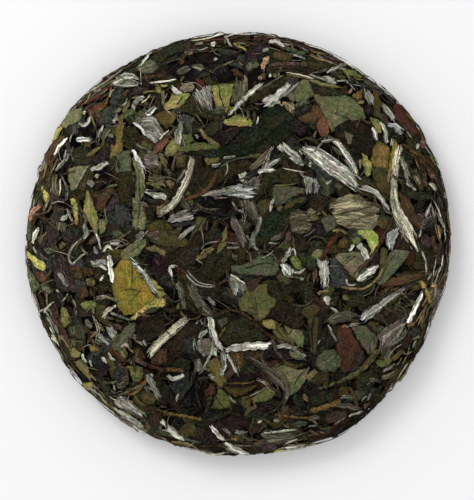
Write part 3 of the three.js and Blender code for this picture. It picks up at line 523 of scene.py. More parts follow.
leaf ochre_olive - 64.4 10.4 67 13 70.4 13 / 67 7 69 7.4 70.4 9.6
flake dark_olive 4 65.6 17 70 14
leaf dark_brown - 73 -2.4 75 2 77 6 / 80 -3 80.6 -1 80.4 1
leaf grey_green - 64.4 -18.6 66.4 -12 69.4 -6 73 -2.4 78 -2.4 / 67 -19.6 73 -14 77 -9 80 -5 80.8 -3
strip pale_olive 0.7 66 -18 69.6 -10 74 -4
leaf olive - 66 -13 66.4 -6 67 -1 / 68.6 -10 70 -5 70 -2
leaf brown - 67 -19 73 -15.4 80 -14 87 -14 / 67 -20.6 75 -19.6 81 -17 87 -15.6
strip brown 1.6 68 -20 76 -18.6 87 -15
leaf slate - 55 -30 65 -25 75 -21 84 -17 / 60 -33 68 -29 72 -25 82 -20
stem ochre 2.8 85.6 -17 88 -21 90.6 -28
strip tan 1.6 92.5 -19 92.6 -25
crumb salmon 2.2 90.6 -19.6 93 -19
bud silver 4,4,3,2,1 57 -35.6 63 -31.6 69 -27 73.6 -24 79 -21
bud white 2.4,2.4,1.6 80 -37.6 83.4 -30 86.8 -22
bud white 1.4 88.5 12 89.4 16 91.4 19.4
bud white 1.0 85 3 86 7
strip silver 1.2 86 -3 88 -8 88.4 -15
bud silver 1.2 88.6 -17 91 -13.6
strip white 1.0 97 10 97.8 4 97.4 0
strip white 1.0 96 -5 96 -9 94.6 -14
strip tan 0.9 98 -2 98.6 -12 98 -20
strip brown 1 99.5 5 99.6 -8 98.5 -23
leaf sage - 34 -6 36.4 -2 40 -3 / 37 -7.4 39 -6 40.6 -5
hairy white - 36.4 -6 38 -12 38.4 -21 / 42 -7 42.6 -14 42.6 -21
crumb tan 2.4 37 -23.4 40 -22.4 43 -22
bud white 2.9 41.6 -24 42.4 -29
hairy stone - 40 -36 45 -32 52 -31 57 -33 / 44 -38 50 -36 56 -37
bud silver 1.7 41 28 44 30
hairy grey_green 3 45 28 49 26
strip olive 1.2 36 14 39 17 42 19
leaf dark_brown - 33 18 33 24 37 25 / 38 14 42 18 43 22
hairy white - 31 47 38 44 46 39 53 34.6 56.4 29 58.6 27 / 29.4 44.4 37 37 45 31 52 26.6 55 25 58 25
strip white 0.8 34 44 44 36.6 54 28.6
strip white 0.8 37 45.4 47 38.6 55 31
hairy white 2.6,2.4,2,1.4 57 26.4 62 25.4 66.4 22 72 13.6
stem mauve_brown 2 72.8 13.4 70 7 64 -4 59 -10 55 -15.6
strip ochre_olive 1.2 58 -9.6 53 -15.6
bud cream 3,3.2,3,3,3.4,4,6,5.6,4.6,2.6 76 47 74.4 40 73.6 34 73 27 73.4 20 75 14 78.4 \
8.4 81 3.4 83 -1 84.6 -4.8
leaf olive - 62 36 63.6 30 66 25 / 69 36 71 30 72 22
stem salmon 1.8 70.2 29 71 33 72.6 36
hairy taupe 3.4 82.4 35.4 86 27.6
bud silver 1.4 78 35 80 28
bud silver 1.7 79 29 84 25
crumb orange 2.2 86.6 32 88.4 34
crumb orange 2.5 90.6 31 92.4 32.6
hairy silver 2.6 90 29 94 25
flake brown 3 87 31 89 27
flake dark_olive - 51 -24 56 -23 61 -24 / 50 -28.6 55 -29.6 61 -29
leaf pale_olive 2.6 49 -24 52 -26
flake dark 5 57 -29 67 -24
leaf dark - 85 -3 86.6 -9 / 90 -3 92 -9
flake plum 6 86 3 92 0
flake brown 3 91.6 4 94 -4
strip salmon 1.4 93.4 9 95 2
strip sage 2 94 9 95.6 5
hairy slate 5 88 8 93 12
# south-west
stem mauve_brown 3 -88 -33 -84 -38.4 -80.6 -44 -78 -50
strip silver 1.3 -90.4 -34 -86 -42
strip olive 1.4 -92.4 -36 -88.4 -43
flake cream 2.8 -88 -42.6 -85.4 -47
leaf pale_olive - -84.6 -42.4 -80 -49 -78 -53.4 / -83 -43 -78 -48.4 -74 -51 -74 -53.6
leaf pale_olive - -77 -55 -73 -61 -69 -64.6 / -73.4 -54 -70.4 -58 -69.2 -63
flake black 3 -74.6 -60 -71.4 -65
leaf lime - -74.6 -66.6 -71 -65 -68.4 -64.8 / -72 -68.4 -69 -68.6 -68.2 -67
flake purple - -70 -58 -68 -52 -63 -54 / -67 -64 -62 -62 -60 -57
hairy grey_green - -80 -38 -80 -44 / -72 -37 -72 -45
flake slate 5 -80 -36 -74 -36
leaf grey_green 3 -79 -45 -76.5 -48
flake ochre_olive 1.6 -74 -45 -73 -50
hairy bright_silver - -68.6 -40.4 -64 -42.4 -60 -45.4 / -67 -45.4 -63 -46.6 -60 -48
hairy silver - -62.6 -38.4 -60 -43.4 -58 -45 / -60 -38.4 -56.4 -41 -56.4 -43
strip pale_olive 1.6 -70 -44 -64 -47
hairy silver 2.6 -71.6 -35 -69 -40
leaf grey_green - -60 -47.4 -56 -43 -52 -38 -48 -36.4 / -59 -50 -54 -49.6 -50 -44 -47.4 -39
leaf olive - -68 -33.4 -64 -36.6 -59 -40.4 / -64 -32.8 -60 -36 -57 -38.4
flake lime 2 -65.6 -37 -62.6 -41
flake mauve_brown 3 -58 -38 -54 -40
bud cream 1.4 -55 -48.4 -52.4 -47 -49 -51
leaf dark - -48 -45 -47 -38 -42 -34 -33 -30.4 / -42 -46 -38 -43 -33 -38
strip olive 0.5 -38 -43 -35 -35
bud silver 1.4 -44.6 -45 -43 -48
bud cream 3.2,3.6,3.2,3,2.2 -42.4 -53 -38.4 -47.6 -33 -42.4 -28 -38 -22.8 -33.6
flake brown - -41 -56 -38 -50 / -33 -58 -33 -48
stem mauve 2.2,2.6,2.2 -49.4 -53 -46 -55 -42 -57
stem red_brown 2.4 -42.6 -56.8 -36 -58.6 -30 -59.4
stem orange 2.2 -34 -58.8 -25 -59.4
stem brown 3 -60 -48.8 -56 -52.6 -52.4 -55.4
leaf ochre - -70.6 -48 -66 -47.4 / -69 -51 -65 -50
crumb maroon 2.4 -64.4 -48 -61.4 -47.6
bud white 1.7 -64 -53 -61.4 -56
bud white 1.5 -60.6 -50.6 -59.4 -53.4 -57 -54.4
bud white 1.4 -73.2 -51.4 -71 -56
bud white 1.3 -69.4 -54.4 -68.8 -58
leaf pale_olive - -53.4 -56.8 -50.6 -60 -49.6 -64.6 / -49 -57 -44.4 -57.8 -44.6 -63 -47 -65.2
flake sage 2.4 -51.6 -54 -49.4 -56.4
stem orange 1.4,2,2.4,1.8 -53.4 -71 -48.6 -70 -45.4 -66.4 -42.2 -62.6
hairy silver - -44 -61 -42 -65 -38 -71 -36 -73 / -40 -60 -39 -65 -36.4 -71
bud silver 1.4 -44.4 -67.4 -40 -68 -37.4 -73.6
leaf olive - -46.4 -71 -44 -68.6 -40 -69.6 -38 -72.6 / -45 -74 -41 -75.4 -38.6 -74
strip tan 1.3 -49 -71 -46.6 -74 -43.4 -76
leaf dark_green - -66.6 -62 -64 -69 -61 -74.6 / -61 -62 -60 -68 -57.6 -74
flake slate 6 -58 -64 -53 -58
hairy grey_green 4 -57 -68 -52 -66
strip white 1.5 -66 -70 -64 -73.4 -61.6 -76
strip silver 1.2 -70 -67 -65.6 -71
strip white 1.4 -64 -77.6 -58 -81.4
hairy silver - -59.4 -73 -56 -77 -50 -79 -44 -82 / -56 -70.4 -50 -74.4 -46 -78 -44.4 -80
hairy silver - -61 -76 -56 -80.4 -50 -86 -43 -90 / -57.4 -77.6 -50 -81 -45 -85 -42 -89
strip brown 0.8 -57 -79.6 -48 -85
strip brown 0.8 -55 -77 -46 -81.4
flake dark_brown - -44.4 -76 -43 -82 -41 -88 / -37 -76 -36 -82 -37 -87
bud white 2,2.8,2.4 -36.4 -82.8 -31 -88 -24.8 -92.2
bud cream 1.7 -49 -85 -43.4 -88.6
crumb maroon 1.6 -49 -88 -47 -88.6
flake brown 3 -43 -83 -42 -88
bud white 1.0 -58.6 -66 -58 -69
# south
leaf dark_brown - -36 -50 -29 -42 -23 -37 -17 -36 / -33 -57.6 -28 -52.6 -20 -50.4 -17 -43
flake dark_green 6 -31 -56 -22 -57
bud white 1.2 -19.6 -37.4 -18 -35.6
bud silver 1.4,2.4,2.6 -14 -40 -16.6 -42 -18 -44.4
leaf stone - -18 -44.4 -18.6 -49 -16 -53.6 / -13 -44 -11 -47.4 -13.4 -51
hairy silver 2.4 -17.4 -44 -18 -49 -15 -53.4
bud silver 1.2 -12 -45 -12.4 -50 -16 -58 -19 -62
hairy silver 3 -19 -53 -18.6 -60
leaf slate - -26 -42 -24 -51 / -20 -44 -20 -52
bud white 2.8,3,3,3 -13 -33.6 -12 -41 -9.6 -47 -7 -50
bud silver 2.4,2.6,2 -7.4 -50 -6.6 -56 -8 -62
bud white 1.4 -5.4 -51 -3 -55.6 -0.4 -61
bud white 1.6,3.4,3.8,3.6,3 -7 -50 -3 -48.8 3 -48 10 -47.6 16.6 -47.6
hairy silver 2.4 17 -48.4 22 -47.4 27.6 -49.4 33 -54.6
stem mauve 1.8 16 -43.8 17.4 -49 21 -54
strip ochre_olive 2.6 20 -54 25 -57 32 -56
leaf dark_olive - -9 -44 -5 -37 2 -34 7 -36 / -6 -47.6 3 -46.4 10 -46 15 -44.4
strip olive 0.6 -6 -44 4 -41 12 -42
leaf lime - 10.4 -36 14 -35 18 -36 19.6 -38 / 12 -38.6 15 -40 18 -39.6
flake ochre_olive 1.6 -9 -44 -5.6 -38.4
hairy stone 4 -9 -38 -5 -34.6
flake dark_brown - 19 -33 21 -37 25 -39.6 / 31 -33 31 -37 29 -40
leaf sage - 21.4 -38 23.4 -43 27 -46.6 30.6 -49 / 26 -40 30 -40 31.2 -45
leaf sage - 23.6 -50.4 26 -54 / 28 -50.4 30.4 -54
leaf sage - 14.4 -59 18 -56 24 -57 29 -59 34 -57.4 / 18 -61.6 21 -65.6 24 -71 28 -69 32 -63
strip lime 0.7 18 -57 22 -62 25 -69
strip olive 0.6 32 -58.6 26 -67
leaf tan - 31 -62 33.6 -64.6 / 36 -58 37.4 -60
leaf ochre - -15.6 -56 -13 -60 -12 -63.6 -8 -67 / -11 -53 -8 -55 -7.4 -60 -5 -65
flake yellow 2 -15 -58 -12.6 -60
hairy silver 3 -14 -61 -11 -63
leaf ochre_olive - -8 -65 -1 -64.4 8 -64.8 10 -66 / -6 -68 -2 -71.6 2 -70.6 7 -68
stem maroon 1.7 -7 -66 2 -66.4 9 -64.6 11 -62.4 7 -61 -1 -63.4 -6 -64
strip ochre 1 -5 -65.4 4 -65 8.6 -63.6
flake brown - -12 -64.4 -15.6 -69 -16 -74.4 / -10 -67 -11 -70 -12.4 -73
leaf mid_green - -12.8 -77.6 -11 -72 -8.6 -66.8 / -3.6 -77.8 -3.4 -73 -6 -69
bud silver 1.4 -4.4 -71 -2.4 -73.4 -0.6 -75
leaf olive - 1 -71 2.4 -77.4 / 6 -71 6 -76.4
leaf pale_olive - 5.4 -72.6 8 -69 14 -67 17.6 -69 / 7 -74 12 -74 17 -72
strip cream 0.8 5 -71.6 10 -69 15.6 -65.6
strip tan 1.2,2,1.4 3 -80.6 5 -77.6 9 -76
strip tan 1.4 7 -73.4 8.6 -77
flake maroon - 9 -76 11 -74.4 15 -74 / 11 -78.6 15 -79 17.4 -76.4
leaf black - -26.4 -73 -23 -69 -20 -65.8 -17 -67.8 / -24 -79.6 -19 -80.6 -15.4 -79 -14.4 -74
strip slate 0.8 -20 -69 -17 -78
leaf slate - -33 -66 -30 -70 -27 -74 / -24 -61.8 -22 -66 -24 -70
leaf dark - -36 -62 -32 -68 -27 -76 -25.4 -80.4 / -36.4 -72 -33 -75 -28 -79.8
strip white 1.2,2.4,1.6 -33.6 -61.4 -29.6 -63.2 -25 -61
bud silver 1.4 -28 -70 -28.6 -74
stem ochre 2 -35.6 -79.8 -26 -80.6 -16.6 -82.6
leaf olive - -28.6 -88 -25 -84.4 -22 -82.8 / -26 -91 -21 -90 -19 -87
leaf maroon - -13 -85 -8 -82 -2 -80.4 3.4 -81 / -9.6 -90 -5 -90.6 0 -87.6 5 -85
flake maroon - -17 -90.6 -14 -86 -12.4 -86 / -15 -93.6 -10.4 -94 -9.4 -90
leaf dark_green - -15.6 -82 -10 -79 -3 -77.4 / -13 -84 -7 -81 -3 -79
flake black 4.4 -3 -76 3 -79
bud white 1.4,2.2,2.2,1.8 -13.2 -84.8 -11 -87.6 -8.6 -90.4 -6.4 -92.4
bud white 1.6,2.8,3,2.2 -6.4 -92.8 -3 -95.4 1 -97.6 5.4 -99.6
hairy silver 2.2 -2 -88 2 -88.6 4.6 -87.6
flake olive - -4.6 -90 1 -89.4 / 0 -93.6 6 -92
flake ochre 1.8 -3.6 -91.4 0.4 -92.6
bud cream 1.5 9 -84 11 -82.6
crumb orange 1.8 11.4 -85 13.4 -85
hairy stone - 12 -89 20 -87.6 29 -87.4 / 13 -93 20 -94 27 -91
strip white 1.3 12 -89 20 -88 28 -87
strip stone 0.9 12 -90 20 -89.6 26 -88.6
strip white 1.0 22 -94 28 -91.4
bud white 1.4 22 -95.4 28 -95.2
leaf straw - 15.6 -98.6 19 -95.6 / 18 -99.4 22.6 -97
strip cream 1.2 -20 -98 -12 -98.6 -4 -97.4
hairy silver 2.4 -6 -96 0 -99
stem mauve_brown 1.8 22 -76.4 28 -78.6 35 -78.4
stem ochre 1.5 17 -80 26 -81.4 35 -82
strip pale_olive 1.4 24 -78 30 -80.6
flake olive 3.6 7 -82 16 -83.6
flake russet - 19.6 -79 20.6 -76 / 23.4 -78 24.4 -75
hairy stone 2.8 1 -51 8 -55.4 14 -60 20 -65 22.6 -70 20 -76 15 -79.6
hairy mauve_silver 1 4 -52 12 -56.4 20 -62.4 23.6 -69 22 -75
hairy mauve_silver 1 13 -61 18 -66 19.6 -71
strip olive 1.6 4 -58 8 -61
flake brown - 3 -51 8 -50 12.4 -50.4 / 6 -54 10 -54.6 14 -52.4
stem brown 1.4 11 -54 15.6 -51.6
stem orange 1.9 -0.4 -51 0.4 -55 1 -59
flake dark_green - 25 -71 30 -70 / 26 -77 33 -77
flake tan 2.4 31 -70 32.4 -74
flake plum - 12 -91 20 -95 / 8 -95 16 -98
hairy silver 2 16.6 -82.6 19.6 -83
hairy grey_green 3 26 -85 33 -84
# south-east
leaf olive - 32.6 -33 33.4 -43 34 -52 / 38 -34 37.2 -43 36.6 -52
strip dark 1 35.6 -33 35 -52
stem dark_brown 1.1 34 -52 36 -58 40 -61 46 -61.4
leaf grey_green - 36 -56.4 37 -52.4 41 -49.4 45 -49.4 48.6 -54 / 38 -58.8 41 -60 45 -60 47 -58 48.2 -56
strip silver 0.4 37.4 -57 43 -54 46 -51
leaf red_brown - 46 -38.4 45.4 -45 46.4 -52 48 -60 / 52 -38 54.6 -44 58.6 -50 57 -56 51 -61
leaf plum - 56 -48 55 -54 52 -60 / 58.8 -50 58.6 -54 55 -60
strip orange 2 48.4 -38.6 51.6 -38.4
strip slate 0.6 50 -58.6 53 -54 55 -49
flake dark - 38 -47 40 -40 44 -36 / 42 -49 46 -47 46 -38
strip silver 1.4 42 -37.4 44 -42 46.4 -46
bud silver 0.9 37.4 -47 38.6 -44.6
leaf grey_green - 52.6 -38 56 -44.6 60 -50.4 62 -52.4 / 59 -38 64 -40.6 66 -45 64 -51.4
strip maroon 2 60 -38 66 -43
hairy mauve_silver - 67.6 -48.6 65.4 -43 69 -39 76 -35.4 80 -33.4 / 71 -49 75 -46 78.6 -43 79.8 -38
strip cream 0.9 67 -44 72 -40.6 78.6 -37
leaf dark_brown - 71 -49.8 76 -45 79 -41.6 84 -37.4 / 75 -51 80 -48 84 -44 86.4 -39
leaf slate - 79.6 -42 82 -38.6 / 83 -44 86 -40
crumb ochre 2.4 79.6 -39.4 82.4 -37
leaf ochre_olive - 52 -37 56 -35 / 53 -38.6 57 -38
leaf ochre_olive - 60 -38 62 -36 / 66 -38.6 66 -36.4
stem pale_olive 1.4,1.4,1.8,2.4,3.2,4 33 -68.8 43 -66.4 51 -63 58 -58.6 63 -53.4 66 -48.6
strip mauve_brown 1.2 46 -65.6 54 -63 61 -57.6 65 -52
leaf dark_olive - 53.6 -66 60 -60.4 66 -55.4 / 57 -69.4 62 -67.6 66.8 -62
strip pale_olive 0.7 63.4 -66 65.4 -60
leaf pale_olive - 64.4 -56 67 -53 72 -52.4 / 66 -58 70 -57 72.6 -54.4
bud ochre 1.8,2.6,2 72.4 -54.4 75 -52 78.4 -49.6
strip lime 1 74 -57 77.4 -53
bud silver 1.7 68 -60 74 -56
hairy taupe 2.4 67 -63 74 -59.6
leaf stone - 74 -66 77 -62 / 76.6 -68.4 81.6 -62
bud straw 1.8 76.6 -65.4 80.6 -60.6
stem brown 1.6 66 -74 72 -63
stem brown 1.2 68 -73 74 -64
bud salmon 1.4 70 -70 72.6 -65.4
strip tan 1.4 68 -74 70 -71
strip pale_olive 1.6 67 -74 69.6 -71.4
leaf dark_green - 33 -72 39 -69 44.6 -68 / 35 -76 40 -75 43.6 -72
strip olive 1.2 42 -75 46 -67
leaf ochre_olive - 46.6 -69.6 48 -67 51 -66.6 / 48 -71.8 51 -72 52.6 -69
leaf olive - 51.6 -67 54 -72 55 -76.4 / 52.8 -66.8 55.6 -71 57 -75.6
flake dark_green 5 60 -72 65 -67
bud silver 1.2 58 -74 60.4 -71
bud silver 1.4 60.6 -73.4 62.4 -69.6
stem ochre 3 33 -79 41 -76.4 49 -73
bud peach 2,2.4,1.6 59 -76.6 61 -76 63 -75
hairy stone 3 45 -76 51 -76 58 -78
hairy mauve_silver 2.4 33 -83 39 -81
leaf mauve_brown - 40.4 -81 45 -78.4 52 -78.4 / 42 -84.6 47 -84 51 -81
bud silver 1.0 45 -84.6 50 -81.6
bud white 1.4 52 -81.4 59 -78.4
flake plum - 38 -87 41 -84 / 41 -92 46 -87
flake slate - 43 -92 48 -86 / 46 -91 52 -84
strip ochre 1.6 33 -87 38.4 -90
strip silver 1.2 33 -86 38 -85
strip cream 0.9 38 -87.6 41 -89
strip olive 1.2 86 -44 82.6 -52
strip ochre 1 84 -51 80.6 -56
strip pale_olive 1.2 84.4 -44.6 83 -50
bud silver 1.0 82 -45 86 -43
"""

# Kinds of piece


@dataclass(frozen=True)
class Form:
    """How one kind of piece is cut, laid and thickened, with its lengths in millimetres."""

    thickness: float  # 0 where it goes by the width
    rounded: bool
    along: float  # steps between its points
    across: float
    outline: str
    tear: float  # waviness of its edges
    slant: float  # slope of its ends
    fray: float
    ridges: float  # relief along it
    ripple: float  # relief all over it
    settling: int  # rounds of smoothing of the ground under it
    sunk: float  # part of its thickness that sinks in
    order: int  # low numbers are laid first
    lift: float = 0.0  # mean height of its free end


FORMS = {
    "leaf": Form(0.26, False, 1.1, 0.9, "lens", 0.04, 0.15, 0.02, 0.0, 0.6, 3, 0.0, 0),
    "flake": Form(0.26, False, 1.0, 0.8, "broken", 0.05, 0.5, 0.06, 0.0, 0.6, 3, 0.0, 0),
    "fold": Form(0.6, True, 1.0, 0.6, "strap", 0.15, 0.2, 0.02, 0.0, 0.15, 8, 0.2, 1),
    "hairy": Form(0.3, False, 0.9, 0.45, "broken", 0.04, 0.25, 0.14, 0.11, 0.3, 3, 0.0, 1),
    "strip": Form(0.35, True, 0.8, 0.4, "shred", 0.05, 0.3, 0.06, 0.05, 0.12, 6, 0.3, 2, 0.35),
    "stem": Form(0.0, True, 1.6, 0.6, "strap", 0.06, 0.1, 0.02, 0.05, 0.1, 16, 0.45, 3),
    "bud": Form(0.0, True, 0.6, 0.45, "bud", 0.07, 0.2, 0.07, 0.07, 0.14, 10, 0.4, 4),
    "fibre": Form(0.22, True, 1.5, 1.0, "strap", 0.02, 0.0, 0.0, 0.0, 0.1, 2, 0.1, 6, 0.4),
    "crumb": Form(0.35, True, 0.8, 0.7, "broken", 0.12, 0.4, 0.05, 0.0, 0.1, 2, 0.25, 5),
}

# Blunt end, place of the widest part and squareness of an even outline
EVEN_OUTLINES = {"lens": (0.05, 0.85, 1.9), "bud": (0.14, 0.75, 2.6)}

# Corners of a ragged outline along it, then its least and its most width at them
RAGGED_OUTLINES = {
    "shred": ((0, 0.15, 0.5, 0.8, 1), (0.1, 0.6, 0.7, 0.5, 0.05), (0.5, 1, 1, 1, 0.4)),
    "strap": ((0, 0.08, 0.5, 0.92, 1), (0.5, 0.8, 0.8, 0.7, 0.3), (0.9, 1, 1, 1, 0.8)),
}

# Thickness of the rounded kinds as a part of their width, and the least of it
ROD_DEPTH = {"stem": 0.75, "bud": 0.24}
LEAST_DEPTH = 0.4

# Points of a long edge, and the lengths of the waves along it and of those over a piece
EDGE_POINTS = 80
TEARS = (4.6, 2.3, 1.2)
RIPPLES = (13.0, 7.0, 4.2)

# Loose fibres: how many for each millimetre of width and how far they stray, by kind, then the
# widths, the least length, the coarseness and the lightness of one
FIBRES = {"hairy": (1.5, 0.8), "bud": (1.6, 1.0)}
FIBRE_WIDTHS = (0.2, 0.42)
FIBRE_LEAST = 2.5
FIBRE_COARSE = 1.3
FIBRE_SHADES = (0.7, 1.35)

# Clumps of loose down: the share of downy leaves with one, its length and width, its fibres
CLUMP_SHARE = 0.85
CLUMP_LENGTHS = (5, 13)
CLUMP_WIDTHS = (0.8, 2.6)
CLUMP_COUNTS = (5, 15)
CLUMP_SPREAD = 1.2


def depth_of(kind, width):
    """Thickness of a piece at its middle."""
    return FORMS[kind].thickness or max(LEAST_DEPTH, ROD_DEPTH[kind] * width)


# Skin of the cake: one flat map spreads from the crown, another from the middle of the foot


def section_points():
    """Half section from the crown over the rim and the foot to the middle of the dimple."""
    turn = 0.5 * np.pi * np.linspace(0, 1, 500) ** (FACE_POWER / 2)
    face_radius = CAKE_RADIUS * np.sin(turn) ** (2 / FACE_POWER)
    face = np.column_stack([face_radius, WIDEST_HEIGHT + (CROWN_HEIGHT - WIDEST_HEIGHT) * np.cos(turn)])
    turn = 0.5 * np.pi * np.linspace(0, 1, 80)[1:]
    rim_radius = FOOT_RADIUS + (CAKE_RADIUS - FOOT_RADIUS) * np.cos(turn)
    rim = np.column_stack([rim_radius, WIDEST_HEIGHT * (1 - np.sin(turn))])
    flat = np.column_stack([np.linspace(FOOT_RADIUS, DIMPLE_RADIUS, 60)[1:], np.zeros(59)])
    part = np.linspace(0, 1, 90)[1:]
    rise = DIMPLE_DEPTH * 0.5 * (1 - np.cos(np.pi * part))
    dimple = np.column_stack([DIMPLE_RADIUS * (1 - part), rise])
    return np.vstack([face, rim, flat, dimple])


def outline_scale(angle, radius):
    """How far the real outline swells or falls in at a bearing."""
    degrees = np.degrees(angle)
    rise = np.zeros_like(degrees)
    for centre, spread, swelling in OUTLINE_LOBES:
        away = (degrees - centre + 180) % 360 - 180
        rise = rise + swelling * np.exp(-((away / spread) ** 2))
    return 1 + rise / CAKE_RADIUS * np.minimum(1, (radius / CAKE_RADIUS) ** 2)


class Skin:
    """Turns a place on a flat map and a height over it into a point of the cake."""

    def __init__(self):
        self.section = section_points()
        steps = np.linalg.norm(np.diff(self.section, axis=0), axis=1)
        self.along = np.concatenate([[0.0], np.cumsum(steps)])
        self.total = self.along[-1]
        slope = np.gradient(self.section, self.along, axis=0)
        outward = np.column_stack([-slope[:, 1], slope[:, 0]])
        self.outward = outward / np.linalg.norm(outward, axis=1)[:, None]
        self.widest = int(np.argmax(self.section[:, 0]))

    def distance(self, radius):
        """Distance along the face from the crown to a radius seen from above."""
        held = np.minimum(radius, CAKE_RADIUS - 0.3)
        return np.interp(held, self.section[: self.widest + 1, 0], self.along[: self.widest + 1])

    def map_places(self, seen):
        """Map places of points seen straight from above."""
        radius = np.maximum(np.hypot(seen[:, 0], seen[:, 1]), 1e-6)
        angle = np.arctan2(seen[:, 1], seen[:, 0])
        plain = radius / outline_scale(angle, radius)
        return seen * (self.distance(plain) / radius)[:, None]

    def wrap(self, spots, heights, under):
        """Points in metres for map places and heights in millimetres."""
        distance = np.hypot(spots[..., 0], spots[..., 1])
        angle = np.arctan2(spots[..., 1], spots[..., 0])
        if under:
            distance = self.total - distance
            angle = -angle
        radius = np.interp(distance, self.along, self.section[:, 0])
        height = np.interp(distance, self.along, self.section[:, 1])
        out = np.interp(distance, self.along, self.outward[:, 0])
        up = np.interp(distance, self.along, self.outward[:, 1])
        reach = np.maximum(radius + out * heights, 0) * outline_scale(angle, radius)
        level = height + up * heights
        held = FLOOR_PLAY * np.exp(np.minimum(level, FLOOR_PLAY) / FLOOR_PLAY - 1)
        level = np.where(level > FLOOR_PLAY, level, held)
        return np.stack([reach * np.cos(angle), reach * np.sin(angle), level], axis=-1) / 1000


# Ground: the heap as it stands so far, over one flat map


def finer(grid, times):
    """A grid with more points between its own, along both its ways."""
    for axis, count in enumerate(times):
        size = grid.shape[axis]
        place = np.linspace(0, size - 1, (size - 1) * count + 1)
        low = np.minimum(place.astype(int), size - 2)
        part = (place - low).reshape([-1 if axis == way else 1 for way in range(grid.ndim)])
        grid = np.take(grid, low, axis) * (1 - part) + np.take(grid, low + 1, axis) * part
    return grid


class Ground:
    """Heights of the heap over one flat map, in cells."""

    def __init__(self):
        self.side = int(2 * MAP_REACH / CELL) + 1
        self.height = np.zeros((self.side, self.side))
        self.trend = np.zeros((self.side, self.side))

    def cells(self, spots):
        """Cell numbers of map places with their fractions, held inside the map."""
        return np.clip((spots + MAP_REACH) / CELL, 0, self.side - 1.001)

    def corners(self, grid, spots):
        """Values of the four cells round each place."""
        low = self.cells(spots).astype(int)
        column, row = low[..., 0], low[..., 1]
        return [grid[column + right, row + up] for up in (0, 1) for right in (0, 1)]

    def highest(self, spots):
        """Highest of the four cells round each place."""
        return np.max(self.corners(self.height, spots), axis=0)

    def level(self, spots):
        """Trend of the heap at each place, between cells."""
        part = self.cells(spots) % 1
        near, right, above, far = self.corners(self.trend, spots)
        low = near * (1 - part[..., 0]) + right * part[..., 0]
        high = above * (1 - part[..., 0]) + far * part[..., 0]
        return low * (1 - part[..., 1]) + high * part[..., 1]

    def cover(self, spots, heights):
        """Raises the heap to the face of a new piece."""
        gaps = [np.linalg.norm(np.diff(spots, axis=axis), axis=-1).max() for axis in (0, 1)]
        times = [max(1, math.ceil(gap / (0.8 * CELL))) for gap in gaps]
        near = np.rint(self.cells(finer(spots, times))).astype(int)
        np.maximum.at(self.height, (near[..., 0], near[..., 1]), finer(heights, times))

    def find_trend(self):
        """Smooths the heap into its trend, by a Gaussian over its frequencies."""
        rates = np.fft.fftfreq(self.side, CELL)
        kept = np.exp(-2 * (np.pi * TREND_SPREAD * rates) ** 2)
        self.trend = np.real(np.fft.ifft2(np.fft.fft2(self.height) * np.outer(kept, kept)))


# One piece: its outline on the map, then the way it settles on the ground


@dataclass
class Piece:
    """One piece as laid: a grid of map places with the heights of its face and its back."""

    kind: str
    tint: str
    under: bool
    spots: np.ndarray
    face: np.ndarray
    back: np.ndarray
    along: np.ndarray
    across: np.ndarray
    margin: np.ndarray
    shade: float
    phase: float


def evenly(points, count):
    """Even points on straight lines through a few, and their length."""
    steps = np.linalg.norm(np.diff(points, axis=0), axis=1)
    along = np.concatenate([[0.0], np.cumsum(steps)])
    even = np.linspace(0, along[-1], count)
    return np.column_stack([np.interp(even, along, points[:, axis]) for axis in (0, 1)]), along[-1]


def curve_through(points, count):
    """Even points on a smooth curve through a few, and its length."""
    ends = np.vstack([2 * points[0] - points[1], points, 2 * points[-1] - points[-2]])
    part = np.linspace(0, 1, 24)[:, None]
    curve = []
    for before, start, end, after in zip(ends[:-3], ends[1:-2], ends[2:-1], ends[3:]):
        bow = 2 * start + (end - before) * part
        bow = bow + (2 * before - 5 * start + 4 * end - after) * part**2
        bow = bow + (3 * start - before - 3 * end + after) * part**3
        curve.append(0.5 * bow)
    return evenly(np.vstack(curve), count)


def wander(rng, along, lengths, size):
    """A slow random wave along a piece."""
    wave = np.zeros_like(along)
    for rank, length in enumerate(lengths):
        turns = along / (length * rng.uniform(0.8, 1.25)) + rng.uniform()
        wave = wave + np.sin(2 * np.pi * turns) / (1 + rank)
    return size * wave


def swell(rng, spots, lengths):
    """A creased random relief over the map, about one unit either way."""
    relief = np.zeros(spots.shape[:-1])
    for length in lengths:
        bearing = rng.uniform(0, 2 * np.pi)
        way = np.array([math.cos(bearing), math.sin(bearing)])
        relief = relief + 1 - 2 * np.abs(np.sin(np.pi * (spots @ way / length + rng.uniform())))
    return relief / len(lengths)


def smooth(grid):
    """Mean of each point and its neighbours both ways."""
    padded = np.pad(grid, 1, mode="edge")
    along = padded[:-2, 1:-1] + padded[2:, 1:-1]
    across = padded[1:-1, :-2] + padded[1:-1, 2:]
    return (2 * grid + along + across) / 6


def half_widths(rng, outline, part):
    """Half widths along a piece at one of its edges, as parts of the widest."""
    if outline in EVEN_OUTLINES:
        blunt, widest, square = EVEN_OUTLINES[outline]
        return blunt + (1 - blunt) * np.maximum(1 - np.abs(2 * part**widest - 1) ** square, 0) ** 0.8
    if outline in RAGGED_OUTLINES:
        corners, least, most = RAGGED_OUTLINES[outline]
        return np.interp(part, corners, rng.uniform(least, most))
    corners = (0, rng.uniform(0.1, 0.35), rng.uniform(0.4, 0.6), rng.uniform(0.65, 0.9), 1)
    return np.interp(part, corners, rng.uniform((0.1, 0.6, 0.75, 0.6, 0.1), (0.8, 1.1, 1.1, 1.1, 0.8)))


